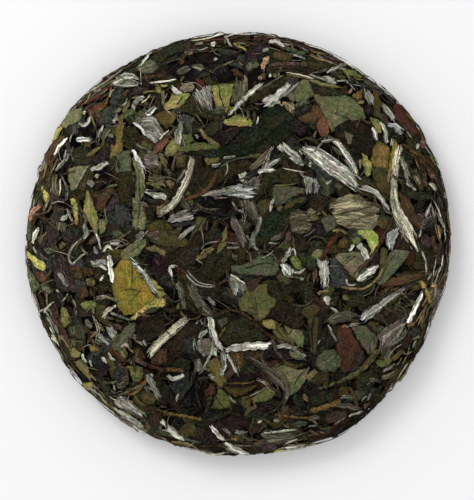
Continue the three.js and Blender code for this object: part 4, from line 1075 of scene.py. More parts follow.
def edges_of(rng, form, points, width, widths=None):
    """The two long edges of a piece drawn by its middle line and its width."""
    line, length = curve_through(points, EDGE_POINTS)
    side = np.gradient(line, axis=0)
    side = np.column_stack([-side[:, 1], side[:, 0]]) / np.linalg.norm(side, axis=1)[:, None]
    part = np.linspace(0, 1, EDGE_POINTS)
    shares = [half_widths(rng, form.outline, part) for _ in range(2)]
    if widths is not None:
        shares = [np.interp(part, np.linspace(0, 1, len(widths)), widths) / width] * 2
    tear = min(1.4 * form.tear * width, 0.3)
    halves = [0.5 * width * share + wander(rng, part * length, TEARS, tear) for share in shares]
    left, right = [np.maximum(half, 0.04 * width + 0.04)[:, None] for half in halves]
    return line - left * side, line + right * side


def torn(rng, form, points):
    """One long edge given by its corners, a little torn."""
    line, length = evenly(points, EDGE_POINTS)
    part = np.linspace(0, 1, EDGE_POINTS) * length
    return line + np.column_stack([wander(rng, part, TEARS, 6 * form.tear) for _ in range(2)])


def fill_between(rng, form, first, second, coarse):
    """Places over a piece between its edges, how far along and across they are, and its two scales."""
    gap = np.linalg.norm(second - first, axis=1)
    length = np.linalg.norm(np.diff(first + second, axis=0), axis=1).sum() / 2
    count = int(np.clip(round(length / form.along / coarse), 3, 60)) + 1
    rows = 2 * int(np.clip(round(0.5 * gap.max() / form.across / coarse), 1, 10))
    place = np.linspace(-1, 1, rows + 1)
    if form.rounded:
        place = np.sin(0.5 * np.pi * place)
    part = np.linspace(0, 1, count)
    slants = form.slant * rng.uniform(-1, 1, 2) * min(gap.max() / length, 1)
    frays = np.minimum(form.fray * rng.exponential(1.0, (2, rows + 1)), 0.3)
    start = np.maximum(slants[0] * place, 0) + 0.5 * frays[0]
    end = 1 - np.maximum(slants[1] * place, 0) - frays[1]
    share = start + (end - start) * part[:, None]
    even = np.linspace(0, 1, EDGE_POINTS)
    near, far = (
        np.stack([np.interp(share, even, edge[:, axis]) for axis in (0, 1)], axis=-1)
        for edge in (first, second)
    )
    spots = 0.5 * (near + far) + 0.5 * place[:, None] * (far - near)
    return spots, share * length, 0.5 * place * np.interp(share, even, gap), part, place


def rod_heights(rng, form, rest, depth, part, place, across, ridges):
    """Back and thickness of a rounded piece, which keeps a smooth line over the ground."""
    line = 0.8 * rest.max(axis=1) + 0.2 * rest.mean()
    for _ in range(form.settling):
        line = np.convolve(np.pad(line, 1, mode="edge"), (0.25, 0.5, 0.25), mode="valid")
    line = np.maximum(line, rest.max(axis=1) - 0.4 * depth)
    fade = np.sqrt(np.maximum(1 - np.abs(2 * part - 1) ** 6, 0.12)) * across.max(axis=1) / across.max()
    thick = 0.06 + np.maximum(depth * np.sqrt(1 - place**4) * fade[:, None] + ridges, 0)
    lift = form.lift * rng.exponential() * rng.choice((part, part[::-1])) ** 5
    return (line + lift)[:, None] - form.sunk * depth, thick


def sheet_heights(rng, form, rest, depth, place, relief, ridges):
    """Back and thickness of a flat piece, which settles on the ground, cupped, creased and curled."""
    settled = rest
    for _ in range(form.settling):
        settled = np.maximum(smooth(settled), rest)
    cup = rng.uniform(-0.3, 0.4) * place**2
    crease = -0.16 * np.exp(-((place / 0.16) ** 2))
    curl = rng.uniform(0, 2) * np.maximum(rng.choice([-1, 1]) * place - 0.55, 0) ** 2
    thick = np.full_like(settled, depth)
    return settled + 0.04 + np.maximum(relief + cup + crease + curl, -0.2) + ridges, thick


def lay_piece(rng, ground, kind, tint, edges, width, under=False, coarse=1.0, loose=0.0):
    """Fills one piece between its edges, lets it settle on the ground and covers the ground with it."""
    form = FORMS[kind]
    spots, along, across, part, place = fill_between(rng, form, *edges, coarse)
    rest = ground.highest(spots)
    depth = depth_of(kind, width)
    relief = form.ripple * swell(rng, spots, RIPPLES)
    ridges = form.ridges * rng.uniform(-1, 1, place.shape) * np.ones_like(part)[:, None]
    if form.rounded:
        back, thick = rod_heights(rng, form, rest, depth, part, place, across, ridges)
        back = back + 0.5 * relief
    else:
        back, thick = sheet_heights(rng, form, rest, depth, place, relief, ridges)
    back = back + loose * rng.exponential()
    ground.cover(spots, back + thick)
    margin = np.broadcast_to(np.abs(place), back.shape)
    shade, phase = rng.normal(1.0, 0.17), rng.uniform(0, 100)
    return Piece(kind, tint, under, spots, back + thick, back, along, across, margin, shade, phase)


def lay_fibres(rng, ground, tint, edges, count, spread):
    """Lays loose fibres along a downy piece or a clump, some past its ends."""
    line, length = evenly(0.5 * (edges[0] + edges[1]), 30)
    width = np.linalg.norm(edges[1] - edges[0], axis=1).max()
    fibres = []
    for _ in range(count):
        first, last = sorted(rng.uniform(-0.04, 1.06, 2))
        if (last - first) * length < FIBRE_LEAST:
            continue
        reach = np.linspace(first, last, 4)
        ends = np.column_stack([np.interp(reach, np.linspace(0, 1, 30), line[:, axis]) for axis in (0, 1)])
        ends = ends + (ends[-1] - ends[0]) * np.where(reach < 0, reach, np.maximum(reach - 1, 0))[:, None]
        way = (ends[-1] - ends[0]) / np.linalg.norm(ends[-1] - ends[0])
        side = np.array([-way[1], way[0]])
        lean = rng.uniform(-0.4, 0.4) * width * np.array([0.8, 1.0, 1.0, 0.9])
        lean = lean + rng.normal(0, 0.12 * spread, 4)
        thin = rng.uniform(*FIBRE_WIDTHS)
        strand = edges_of(rng, FORMS["fibre"], ends + lean[:, None] * side, thin)
        fibres.append(lay_piece(rng, ground, "fibre", tint, strand, thin, coarse=FIBRE_COARSE))
        fibres[-1].shade = rng.uniform(*FIBRE_SHADES)
    return fibres


def lay_clump(rng, ground, edges):
    """Lays a small clump of loose down beside a downy piece, about the way it lies."""
    line = 0.5 * (edges[0] + edges[1])
    way = line[-1] - line[0]
    heading = math.atan2(way[1], way[0]) + rng.normal(0, 0.3)
    place = line[rng.integers(len(line))] + rng.normal(0, 3.0, 2)
    reach = 0.5 * rng.uniform(*CLUMP_LENGTHS) * np.array([math.cos(heading), math.sin(heading)])
    bow = 0.25 * rng.normal() * np.array([-reach[1], reach[0]])
    points = np.array([place - reach, place + bow, place + reach])
    bounds = edges_of(rng, FORMS["hairy"], points, rng.uniform(*CLUMP_WIDTHS))
    tint, count = drawn(rng, DOWN_TINTS), int(rng.integers(*CLUMP_COUNTS))
    return lay_fibres(rng, ground, tint, bounds, count, CLUMP_SPREAD)


# Heap: a bed of random pieces, the main pieces, then more random ones in the gaps

# Darker and lighter parts of the face: across, up, reach in millimetres, and their lightness, then
# the power of it that a main piece takes on
PARTS = (
    (-9, 11, 15, 0.5), (8, 49, 14, 0.6), (-14, 36, 12, 0.7), (31, 9, 11, 0.7), (-31, -12, 12, 0.75),
    (30, -32, 15, 0.55), (-28, -66, 16, 0.4), (-8, -72, 14, 0.6), (18, -72, 18, 0.6), (57, -66, 22, 0.6),
    (-31, -48, 12, 0.5), (8, -28, 14, 0.7), (-9, -12, 12, 0.85), (48, -88, 13, 0.33), (50, 32, 12, 1.4),
    (-30, 56, 13, 2.4), (76, 10, 10, 0.7), (-50, -30, 9, 0.8), (92, -28, 13, 3.8), (-88, -52, 13, 2.8),
    (-8, -50, 9, 1.3), (-50, -90, 16, 3.5), (12, 70, 10, 1.3), (-66, 70, 18, 1.7), (-66, 50, 10, 1.6),
    (-94, 48, 14, 1.7), (-98, 26, 13, 2.2), (-98, -14, 13, 2.2), (99, -8, 13, 2.2), (30, 48, 11, 1.9),
    (11, -50, 8, 0.5), (70, 50, 11, 0.42), (50, 90, 12, 1.6), (74, -32, 11, 1.6), (-6, 11, 8, 0.7),
    (94, -54, 10, 0.5), (18, -94, 16, 1.9), (-14, 94, 22, 1.4), (34, -8, 9, 1.6), (10, 34, 7, 1.2),
    (-50, 52, 9, 0.75), (30, 30, 8, 0.75), (50, 10, 10, 1.4), (32, -70, 9, 0.7),
)
PARTS_POWER = 0.45

# Tints and kinds of the random pieces, by weight
DEEP_TINTS = {
    "dark": 5, "dark_olive": 4, "dark_green": 3, "black": 2, "dark_brown": 3, "slate": 2, "purple": 2,
    "olive": 1, "red_brown": 1,
}
LITTER_TINTS = {
    "silver": 5, "white": 1, "olive": 4, "dark": 4, "brown": 5, "ochre": 3, "lime": 1, "sage": 2,
    "grey_green": 3, "taupe": 4, "red_brown": 3, "dark_olive": 4, "stone": 2, "cream": 1, "mauve": 2,
}
MIXED_TINTS = {
    "olive": 5, "dark_olive": 5, "grey_green": 4, "dark_green": 3, "brown": 3, "taupe": 3, "silver": 3,
    "red_brown": 2, "dark_brown": 3, "ochre_olive": 2, "pale_olive": 2, "slate": 2, "mauve": 1, "dark": 3,
}
RIM_TINTS = {
    "dark": 4, "dark_brown": 5, "black": 1, "olive": 6, "brown": 7, "ochre": 4, "taupe": 5, "silver": 5,
    "cream": 3, "grey_green": 4, "dark_olive": 4, "tan": 5, "slate": 1, "red_brown": 3, "stone": 4,
}
DOWN_TINTS = {"silver": 5, "white": 1, "cream": 1, "mauve_silver": 4, "taupe": 4, "tan": 1}
PALE_TINTS = ("silver", "white", "cream", "taupe", "ochre", "lime", "sage", "tan")
SHEETS = {"leaf": 2, "flake": 6, "hairy": 2}
SLIVERS = {"strip": 4, "crumb": 3, "hairy": 1}
LITTER = {"leaf": 2, "flake": 3, "hairy": 3, "bud": 2, "stem": 2}
RIM_BITS = {"strip": 6, "stem": 1, "bud": 1, "hairy": 1}

# Widths of a random rod, the longest crumb in widths of its own, and how far broad and thin pieces bend
ROD_WIDTHS = (0.9, 2.6)
CRUMB_LENGTH = 2.2
BOWS = (0.14, 0.32)
THIN_WIDTH = 0.7

# A piece shows if this share of it lies less than so far under the top
COVERED = 0.1
SHOWN_SHARE = 0.06

# How far the heap's face and foot stand out under the press, and the gap under the foot
FACE_PLAY = 1.5
FOOT_PLAY = 0.5
FOOT_GAP = 0.02


@dataclass(frozen=True)
class Scatter:
    """Many random pieces in a ring, each in the lowest of a few tries, in millimetres and degrees."""

    count: int
    inner: float
    outer: float
    kinds: dict
    tints: dict
    length: tuple
    width: tuple
    tries: int
    turn: float = 180.0
    coarse: float = 1.7
    loose: float = 0.0


FACE_BED = (
    Scatter(200, 0, 104, SHEETS, DEEP_TINTS, (12, 28), (5, 12), 10, coarse=2.3),
    Scatter(220, 96, 124, SHEETS, DEEP_TINTS, (10, 24), (2.5, 6), 10, 12, 2.3),
    Scatter(160, 0, 104, {"flake": 4, "leaf": 2, "hairy": 3}, MIXED_TINTS, (6, 16), (2.5, 7), 12),
    Scatter(980, 92, 124, RIM_BITS, RIM_TINTS, (4, 18), (0.5, 1.7), 14, 18, 2.2, 0.3),
)
FACE_GAPS = (
    Scatter(200, 0, 106, {"strip": 3, "flake": 3, "hairy": 2}, LITTER_TINTS, (3, 9), (0.5, 1.8), 30),
    Scatter(300, 0, 106, {"strip": 1}, LITTER_TINTS, (4, 12), (0.3, 0.6), 30),
    Scatter(240, 100, 122, {"strip": 5, "stem": 1}, RIM_TINTS, (7, 22), (0.5, 1.3), 5, 12, 2.2, 0.2),
)
FOOT_BED = (
    Scatter(300, 0, 98, SHEETS, DEEP_TINTS, (11, 26), (4, 11), 10, coarse=2.3),
    Scatter(330, 0, 96, LITTER, LITTER_TINTS, (8, 22), (2.4, 7), 14),
    Scatter(360, 0, 96, SLIVERS, LITTER_TINTS, (1.6, 7), (0.6, 1.6), 20),
)


def lightness_at(place):
    """Lightness of the random pieces at a place on the face."""
    gain = 1.0
    for across, up, reach, part in PARTS:
        away = math.hypot(place[0] - across, place[1] - up) / reach
        gain *= part ** math.exp(-(away**2))
    return gain


def drawn(rng, weights):
    """A name drawn by weight."""
    names = list(weights)
    shares = np.array(list(weights.values()), float)
    return names[rng.choice(len(names), p=shares / shares.sum())]


def scatter(rng, ground, plan, under=False):
    """Lays many pieces, each in the lowest of a few random places."""
    pieces = []
    for _ in range(plan.count):
        distance = np.sqrt(rng.uniform(plan.inner**2, plan.outer**2, plan.tries))
        bearing = rng.uniform(0, 2 * np.pi, plan.tries)
        places = np.column_stack([distance * np.cos(bearing), distance * np.sin(bearing)])
        best = int(np.argmin(ground.highest(places)))
        gain = 1.0 if under else lightness_at(places[best])
        kind, tint = drawn(rng, plan.kinds), drawn(rng, plan.tints)
        if tint in PALE_TINTS and rng.uniform() > gain**3:
            tint = drawn(rng, DEEP_TINTS)
        length, width = rng.uniform(*plan.length), rng.uniform(*plan.width)
        if kind in ROD_DEPTH:
            width = float(np.clip(width, *ROD_WIDTHS))
        if kind == "crumb":
            length = min(length, CRUMB_LENGTH * width)
        heading = bearing[best] + 0.5 * np.pi + math.radians(rng.uniform(-plan.turn, plan.turn))
        reach = 0.5 * length * np.array([math.cos(heading), math.sin(heading)])
        bow = BOWS[width <= THIN_WIDTH] * rng.normal() * np.array([-reach[1], reach[0]])
        points = np.array([places[best] - reach, places[best] + bow, places[best] + reach])
        edges = edges_of(rng, FORMS[kind], points, width)
        pieces.append(lay_piece(rng, ground, kind, tint, edges, width, under, plan.coarse, plan.loose))
        pieces[-1].shade *= min(gain, 1.1) if tint in PALE_TINTS else gain
    return pieces


def read_row(rng, skin, line):
    """One main piece: its kind and tint, its two edges and its width."""
    kind, tint, sizes, *numbers = line.split()
    form = FORMS[kind]
    if sizes == "-":
        cut = numbers.index("/")
        corners = [np.array(part, float).reshape(-1, 2) for part in (numbers[:cut], numbers[cut + 1 :])]
        first, second = [torn(rng, form, skin.map_places(part)) for part in corners]
        return kind, tint, (first, second), np.linalg.norm(second - first, axis=1).max()
    widths = np.array(sizes.split(","), float)
    points = skin.map_places(np.array(numbers, float).reshape(-1, 2))
    if len(points) == 2:
        way = points[1] - points[0]
        bow = 0.045 * rng.normal() * np.array([-way[1], way[0]])
        points = np.array([points[0], points.mean(axis=0) + bow, points[1]])
    cut = widths if len(widths) > 1 else None
    return kind, tint, edges_of(rng, form, points, widths.max(), cut), widths.max()


def lay_main_pieces(rng, skin, ground):
    """Lays the pieces read off the real cake, broad ones first."""
    lines = MAIN_PIECES.strip().splitlines()
    rows = [read_row(rng, skin, line) for line in lines if not line.startswith("#")]
    rows.sort(key=lambda row: (FORMS[row[0]].order, -row[3]))
    pieces = []
    for kind, tint, edges, width in rows:
        pieces.append(lay_piece(rng, ground, kind, tint, edges, width))
        near = lightness_at(pieces[-1].spots.mean(axis=(0, 1)))
        pieces[-1].shade = (0.5 + 0.5 * pieces[-1].shade) * near**PARTS_POWER
        if kind in FIBRES:
            each, spread = FIBRES[kind]
            pieces += lay_fibres(rng, ground, tint, edges, max(2, round(each * width)), spread)
    for kind, _, edges, _ in rows:
        if kind == "hairy" and rng.uniform() < CLUMP_SHARE:
            pieces += lay_clump(rng, ground, edges)
    return pieces


def shows(ground, piece):
    """Whether more than a trace of a piece lies open once the heap is whole."""
    lowest = np.min(ground.corners(ground.height, piece.spots), axis=0)
    return np.mean(piece.face > lowest - COVERED) > SHOWN_SHARE


@functools.cache
def heap():
    """Skin, grounds and every piece of the cake, laid once for all the operators."""
    rng = np.random.default_rng(SEED)
    skin, face, foot = Skin(), Ground(), Ground()
    pieces = [piece for plan in FACE_BED for piece in scatter(rng, face, plan)]
    pieces += lay_main_pieces(rng, skin, face)
    pieces += [piece for plan in FACE_GAPS for piece in scatter(rng, face, plan)]
    pieces += [piece for plan in FOOT_BED for piece in scatter(rng, foot, plan, True)]
    face.find_trend()
    foot.find_trend()
    return skin, face, foot, [piece for piece in pieces if shows(foot if piece.under else face, piece)]


def pressed(ground, spots, heights, under):
    """Heights over the skin once the heap is levelled and pressed."""
    sizes = bpy.context.scene.tea_cake_sizes
    above = sizes.looseness * (heights - ground.level(spots))
    if under:
        held = FOOT_PLAY * np.tanh((above + FOOT_PLAY) / FOOT_PLAY) - FOOT_PLAY
        return np.where(above > -FOOT_PLAY, held, above) - FOOT_GAP
    above = above + sizes.lift * 1000
    return np.where(above > 0, FACE_PLAY * np.tanh(above / FACE_PLAY), above)


# Settings


def swatch(name, red, green, blue):
    """Setting of one colour, with its default as a screen shows it, 0 to 255."""
    parts = (red, green, blue)
    linear = [((part / 255 + 0.055) / 1.055) ** 2.4 if part > 10 else part / 3294.6 for part in parts]
    return FloatVectorProperty(
        name=name, description=f"Colour of the pieces that are {name.lower()}", default=linear,
        subtype="COLOR", min=0, max=1,
    )


class TeaCakeColours(bpy.types.PropertyGroup):
    """Colours of the leaves, buds and stems."""

    white: swatch("White down", 192, 191, 177)
    silver: swatch("Silver down", 141, 140, 128)
    bright_silver: swatch("Bright silver down", 178, 181, 171)
    cream: swatch("Cream down", 181, 176, 153)
    mauve_silver: swatch("Mauve silver", 109, 100, 92)
    taupe: swatch("Taupe", 100, 95, 74)
    pale_taupe: swatch("Pale taupe", 134, 126, 98)
    olive: swatch("Olive", 54, 50, 26)
    dark_olive: swatch("Dark olive", 35, 33, 16)
    pale_olive: swatch("Pale olive", 81, 79, 46)
    ochre_olive: swatch("Ochre olive", 58, 50, 23)
    lime: swatch("Lime", 107, 105, 58)
    bright_green: swatch("Bright green", 122, 132, 66)
    sage: swatch("Sage", 90, 92, 62)
    grey_green: swatch("Grey green", 67, 71, 52)
    deep_green: swatch("Deep green", 22, 29, 13)
    dark_green: swatch("Dark green", 31, 34, 20)
    brown: swatch("Brown", 60, 44, 27)
    dark_brown: swatch("Dark brown", 34, 27, 18)
    red_brown: swatch("Red brown", 60, 35, 25)
    maroon: swatch("Maroon", 28, 17, 17)
    ochre: swatch("Ochre", 93, 79, 41)
    yellow: swatch("Yellow", 112, 98, 36)
    tan: swatch("Tan", 104, 90, 60)
    slate: swatch("Slate", 40, 42, 38)
    purple: swatch("Purple black", 27, 23, 23)
    mauve: swatch("Mauve", 81, 67, 57)
    salmon: swatch("Salmon", 144, 114, 85)
    orange: swatch("Orange", 106, 75, 38)
    dark: swatch("Dark", 27, 24, 15)
    black: swatch("Black", 7, 6, 6)
    russet: swatch("Russet", 86, 57, 42)
    mid_green: swatch("Mid green", 72, 79, 40)
    straw: swatch("Straw", 133, 126, 69)
    stone: swatch("Stone", 87, 84, 70)
    plum: swatch("Plum", 45, 38, 36)
    mauve_brown: swatch("Mauve brown", 53, 40, 32)
    peach: swatch("Peach", 168, 138, 105)
    common: swatch("Middle colour of the broken bits", 60, 57, 44)
    old_leaf: swatch("Olive brown of old leaf", 60, 49, 32)
    # Painted highlight: the blue grey sheen painted in patches on the leaves.
    sheen: swatch("Blue grey sheen", 82, 86, 84)
    # Near black: partly the dark pressed leaf, partly painted shade deep in the gaps.
    core: swatch("Core", 21, 17, 11)


class TeaCakeSizes(bpy.types.PropertyGroup):
    """Sizes of the heap and its setting."""

    looseness: FloatProperty(
        name="Looseness", description="How much of its height the heap keeps under the press",
        default=0.85, min=0.2, max=1, subtype="FACTOR",
    )
    lift: FloatProperty(
        name="Lift", description="How far the middle of the heap stands over the cake's skin",
        default=0.0001, min=0, max=0.001, unit="LENGTH",
    )
    lightness: FloatProperty(
        name="Lightness", description="Lightness of all the finishes", default=1.33, min=0.5, max=2,
    )
    core_depth: FloatProperty(
        name="Core depth", description="How deep the core lies under the lowest leaf",
        default=0.0004, min=0, max=0.003, unit="LENGTH",
    )
    floor_width: FloatProperty(
        name="Floor width", description="Width of the pale floor", default=6.0, min=1, max=20,
        unit="LENGTH",
    )
    camera_height: FloatProperty(
        name="Camera height", description="Height of the camera over the widest part of the cake",
        default=1.1, min=0.4, max=4, unit="LENGTH",
    )
    picture_height: FloatProperty(
        name="Picture height", description="Height of the picture at the widest part of the cake",
        default=0.237, min=0.2, max=1, unit="LENGTH",
    )


# Finishes


class Value:
    """A socket that takes part in Python sums."""

    def __init__(self, finish, socket):
        self.finish = finish
        self.socket = socket

    def sum(self, operation, first, second=0.0):
        """A Math node on two numbers or sockets."""
        return self.finish.node("ShaderNodeMath", {"operation": operation}, {0: first, 1: second})

    def __add__(self, other):
        return self.sum("ADD", self, other)

    def __sub__(self, other):
        return self.sum("SUBTRACT", self, other)

    def __rsub__(self, other):
        return self.sum("SUBTRACT", other, self)

    def __mul__(self, other):
        return self.sum("MULTIPLY", self, other)

    def __truediv__(self, other):
        return self.sum("DIVIDE", self, other)

    __radd__ = __add__
    __rmul__ = __mul__

    def size(self):
        """The number without its sign."""
        return self.sum("ABSOLUTE", self)

    def wave(self):
        """The sine of the number."""
        return self.sum("SINE", self)

    def at_most(self, limit):
        """The number, held under a limit."""
        return self.sum("MINIMUM", self, limit)

    def between(self, low, high):
        """A smooth step from 0 at one limit to 1 at the other."""
        inputs = {"Value": self, "From Min": low, "From Max": high}
        return self.finish.node("ShaderNodeMapRange", {"interpolation_type": "SMOOTHSTEP"}, inputs)


class Finish:
    """A node material under way."""

    def __init__(self, name):
        self.material = bpy.data.materials.new(name)
        self.material.use_nodes = True
        self.tree = self.material.node_tree
        self.shader = self.tree.nodes["Principled BSDF"]

    def node(self, kind, settings=None, inputs=None, output=0):
        """A node's output, after its settings and its sockets."""
        made = self.tree.nodes.new(kind)
        for key, value in (settings or {}).items():
            setattr(made, key, value)
        for key, value in (inputs or {}).items():
            self.feed(made.inputs[key], value)
        return Value(self, made.outputs[output])

    def feed(self, socket, value):
        """Links or sets one input."""
        if isinstance(value, Value):
            self.tree.links.new(value.socket, socket)
        else:
            socket.default_value = value

    def shade(self, **inputs):
        """Feeds the shader's sockets, named with underscores for blanks."""
        for name, value in inputs.items():
            self.feed(self.shader.inputs[name.replace("_", " ")], value)
        return self.material

    def attribute(self, name, output):
        """One of the mesh's own attributes."""
        return self.node("ShaderNodeAttribute", {"attribute_name": name}, output=output)

    def split(self, vector):
        """The three numbers of a vector."""
        separate = self.node("ShaderNodeSeparateXYZ", inputs={0: vector})
        return [Value(self, socket) for socket in separate.socket.node.outputs]

    def joined(self, *parts):
        """A vector of three numbers."""
        return self.node("ShaderNodeCombineXYZ", inputs=dict(enumerate(parts)))

    def noise(self, place, scale, detail=2.0, roughness=0.5, distortion=0.0):
        """Smooth noise from 0 to 1."""
        inputs = {"Vector": place, "Scale": scale, "Detail": detail}
        inputs |= {"Roughness": roughness, "Distortion": distortion}
        return self.node("ShaderNodeTexNoise", inputs=inputs)

    def cells(self, place, scale, sway):
        """A random number for each of many small patches with bent edges."""
        bent = self.node("ShaderNodeTexNoise", inputs={"Vector": place, "Scale": scale}, output=1)
        inputs = {0: bent, 1: (sway,) * 3, 2: place}
        bent = self.node("ShaderNodeVectorMath", {"operation": "MULTIPLY_ADD"}, inputs)
        patch = self.node("ShaderNodeTexVoronoi", inputs={"Vector": bent, "Scale": scale}, output=1)
        return self.split(patch)[0]

    def mix(self, share, first, second, blend="MIX"):
        """Two colours mixed."""
        settings = {"data_type": "RGBA", "blend_type": blend}
        return self.node("ShaderNodeMix", settings, {0: share, 6: first, 7: second}, 2)

    def lightened(self, colour, gain):
        """A colour times a number."""
        return self.node("ShaderNodeVectorMath", {"operation": "SCALE"}, {0: colour, 3: gain})

    def bump(self, height, distance):
        """A normal from a height in units of the distance in metres."""
        return self.node("ShaderNodeBump", inputs={"Height": height, "Distance": distance, "Strength": 1.0})


# What the tint is multiplied by in its greener patches and in its more mauve ones
GREEN_CAST = (0.88, 1.08, 0.8, 1)
MAUVE_CAST = (1.12, 0.92, 1.12, 1)


def colour_of(name):
    """One of the settings' colours, with the lightness of all the finishes."""
    gain = bpy.context.scene.tea_cake_sizes.lightness
    return [min(part * gain, 1) for part in getattr(bpy.context.scene.tea_cake_colours, name)] + [1.0]


class Grain:
    """What every tea finish reads: the mesh's own attributes, and noises over the whole cake."""

    def __init__(self, finish):
        self.tint = finish.attribute("tint", 0)
        self.worn = finish.attribute("tint", 3)
        self.margin, self.share, self.phase = finish.split(finish.attribute("grain", 1))
        own_map = finish.node("ShaderNodeUVMap", {"uv_map": "grain_map"})
        self.along, self.across, _ = finish.split(own_map)
        self.place = finish.node("ShaderNodeTexCoord", output=3)
        self.broad = finish.noise(self.place, 85.0, 3.0)
        self.cloud = finish.noise(self.place, 190.0, 3.0, 0.6, 0.6)
        self.mottle = finish.noise(self.place, 330.0, 5.0, 0.68)
        self.grit = finish.noise(self.place, 1150.0, 2.0, 0.6)
        self.lines = self.lines_of_down(finish)
        self.veins = self.leaf_veins()

    def lines_of_down(self, finish):
        """Lines along a piece, coarse and fine ones together: 1 on them and 0 between them."""
        sway = 0.0012 * self.mottle
        wide = finish.joined(self.along * 70.0, (self.across + sway) * 1250.0, self.phase)
        thin = finish.joined(self.along * 130.0, (self.across - sway) * 2400.0, self.phase)
        coarse, fine = finish.noise(wide, 1.0, 1.0, 0.6), finish.noise(thin, 1.0, 2.0, 0.7)
        return (0.65 * coarse + 0.35 * fine).between(0.45, 0.54)

    def leaf_veins(self):
        """A midrib along a piece, with side veins."""
        away = self.across.size()
        rib = 1 - (away / 0.0003).between(0.4, 1.6)
        side = (self.along * 2400.0 - away * 2000.0 + 3.0 * self.mottle).wave().between(0.86, 1.0)
        return (rib + 0.4 * side).between(0.0, 1.2)


def light_and_dark(finish, grain, down, vein, contrast):
    """How light each point is against its piece's tint, with painted fold shading and, mixed with the
    leaf's own darker parts, painted shade between the lines of down and at the edges.
    """
    # Painted fold shading: patches of random lightness that stand in for folds catching the light or lying
    # in shade.
    painted_fold_shade = finish.cells(grain.place, 270.0, 0.0035)
    # Darker towards the ends and edges: partly the leaf's own browned edges, partly painted shade at the
    # edges and down the sides of the rounded pieces, more so on downy ones.
    ends = (2 * grain.share - 1).size().between(0.8, 1.0)
    edge = (grain.margin.between(0.75 - 0.4 * down, 1.0) + ends).between(0.0, 1.2)
    net = finish.noise(grain.place, 520.0, 3.0, 0.6, 1.0)
    cracks = 1 - (net - 0.5).size().between(0.0, 0.03)
    gain = 0.55 + 0.45 * down + (0.9 - 0.95 * down) * grain.mottle.between(0.34, 0.66)
    gain = gain * (0.45 + 0.6 * down + (1.1 - 1.15 * down) * grain.grit.between(0.42, 0.58))
    gain = gain * (0.85 + 0.3 * painted_fold_shade) * (1 - (0.4 - 0.3 * down) * cracks)
    # Darker between the lines of down: partly the leaf showing under the down, partly painted shade between
    # the fibres.
    gain = gain * (1 - contrast * (1 - grain.lines)) * (1 + 0.4 * contrast)
    gain = (1 + grain.worn * (gain - 1)).at_most(1.4 - 0.55 * down) * (1 + vein * grain.veins)
    # Painted shade and browning at the edges, then the downy pieces made lighter.
    return gain * (1 - (0.3 + 0.3 * down) * edge) * (1 + 0.7 * down)


def aged_and_painted_light(finish, grain, gain, down, rust, wisps_and_sheen):
    """The tint with painted shading in broad lighter and darker patches, greener or more mauve by patches,
    some of them rusty and some with a painted blue grey sheen.
    """
    shading = 1 + (0.5 - 0.5 * down) * (grain.cloud.between(0.3, 0.7) - 0.5)
    cast = finish.mix(grain.cloud.between(0.38, 0.62), GREEN_CAST, MAUVE_CAST)
    hued = finish.mix((1 - down) ** 2, grain.tint, finish.mix(1.0, grain.tint, cast, "MULTIPLY"))
    body = finish.lightened(hued, gain * shading)
    rusty = finish.mix(0.6, finish.lightened(body, 0.9), colour_of("old_leaf"))
    rusted = rust * grain.cloud.between(0.5, 0.62) * grain.broad.between(0.42, 0.58)
    # Painted highlight: patches of blue grey sheen mixed into the colour, their share set by the same
    # number as the loose wisps of down.
    painted_sheen = wisps_and_sheen * grain.cloud.between(0.5, 0.38) * grain.grit.between(0.4, 0.6)
    return finish.mix(painted_sheen, finish.mix(rusted, body, rusty), colour_of("sheen"))


def downy(finish, grain, colour, down, wisps_and_sheen):
    """A colour with dark gaps between its lines of down, partly the leaf under the down and partly painted
    shade between the fibres, and wisps of loose down over it.
    """
    # The gaps between the lines: the tint darkened toward dark brown, partly painted shade between the
    # fibres.
    under = finish.mix(0.4, finish.lightened(grain.tint, 0.4), colour_of("dark_brown"))
    ground = finish.mix((1 - grain.lines) * (0.8 * down), colour, under)
    web = finish.noise(grain.place, 260.0, 2.0, 0.5, 0.8)
    wisps = (1 - (web - 0.5).size().between(0.002, 0.011)) * grain.broad.between(0.45, 0.58)
    loose = (grain.grit.between(0.68, 0.8) * (0.1 + 0.3 * down) + wisps_and_sheen * wisps).between(0.0, 1.0)
    return finish.mix(loose, ground, colour_of("silver"))


def tea_finish(name, down, vein, contrast, roughness, relief, rust, wisps_and_sheen):
    """Dry tea: mottled, darker at its edges, with veins or with lines of down along it."""
    finish = Finish(name)
    grain = Grain(finish)
    gain = light_and_dark(finish, grain, down, vein, contrast)
    colour = downy(finish, grain, aged_and_painted_light(finish, grain, gain, down, rust, wisps_and_sheen), down, wisps_and_sheen)
    creases = finish.noise(grain.place, 330.0, 3.0, 0.55, 0.8)
    height = relief * grain.worn * (2.4 * creases + 0.4 * grain.grit)
    height = height + down * grain.lines - 0.3 * vein * grain.veins
    return finish.shade(
        Base_Color=colour, Roughness=roughness + 0.15 * (grain.mottle - 0.5),
        Normal=finish.bump(height, 0.0007), Specular_IOR_Level=0.03,
    )


def core_finish():
    """Pressed tea deep in the gaps: near black, partly the dark pressed leaf and partly painted shade for
    the depth of the gaps, with broken bits of leaf in it.
    """
    finish = Finish("pressed core")
    place = finish.node("ShaderNodeTexCoord", output=3)
    bits = finish.noise(place, 700.0, 4.0, 0.7)
    patch = finish.noise(place, 130.0, 3.0)
    colour = finish.mix(patch.between(0.4, 0.6), colour_of("core"), colour_of("black"))
    colour = finish.mix(bits.between(0.6, 0.72) * 0.5, colour, colour_of("brown"))
    normal = finish.bump(bits, 0.0012)
    return finish.shade(Base_Color=colour, Roughness=0.9, Normal=normal, Specular_IOR_Level=0.0)


# Joined meshes

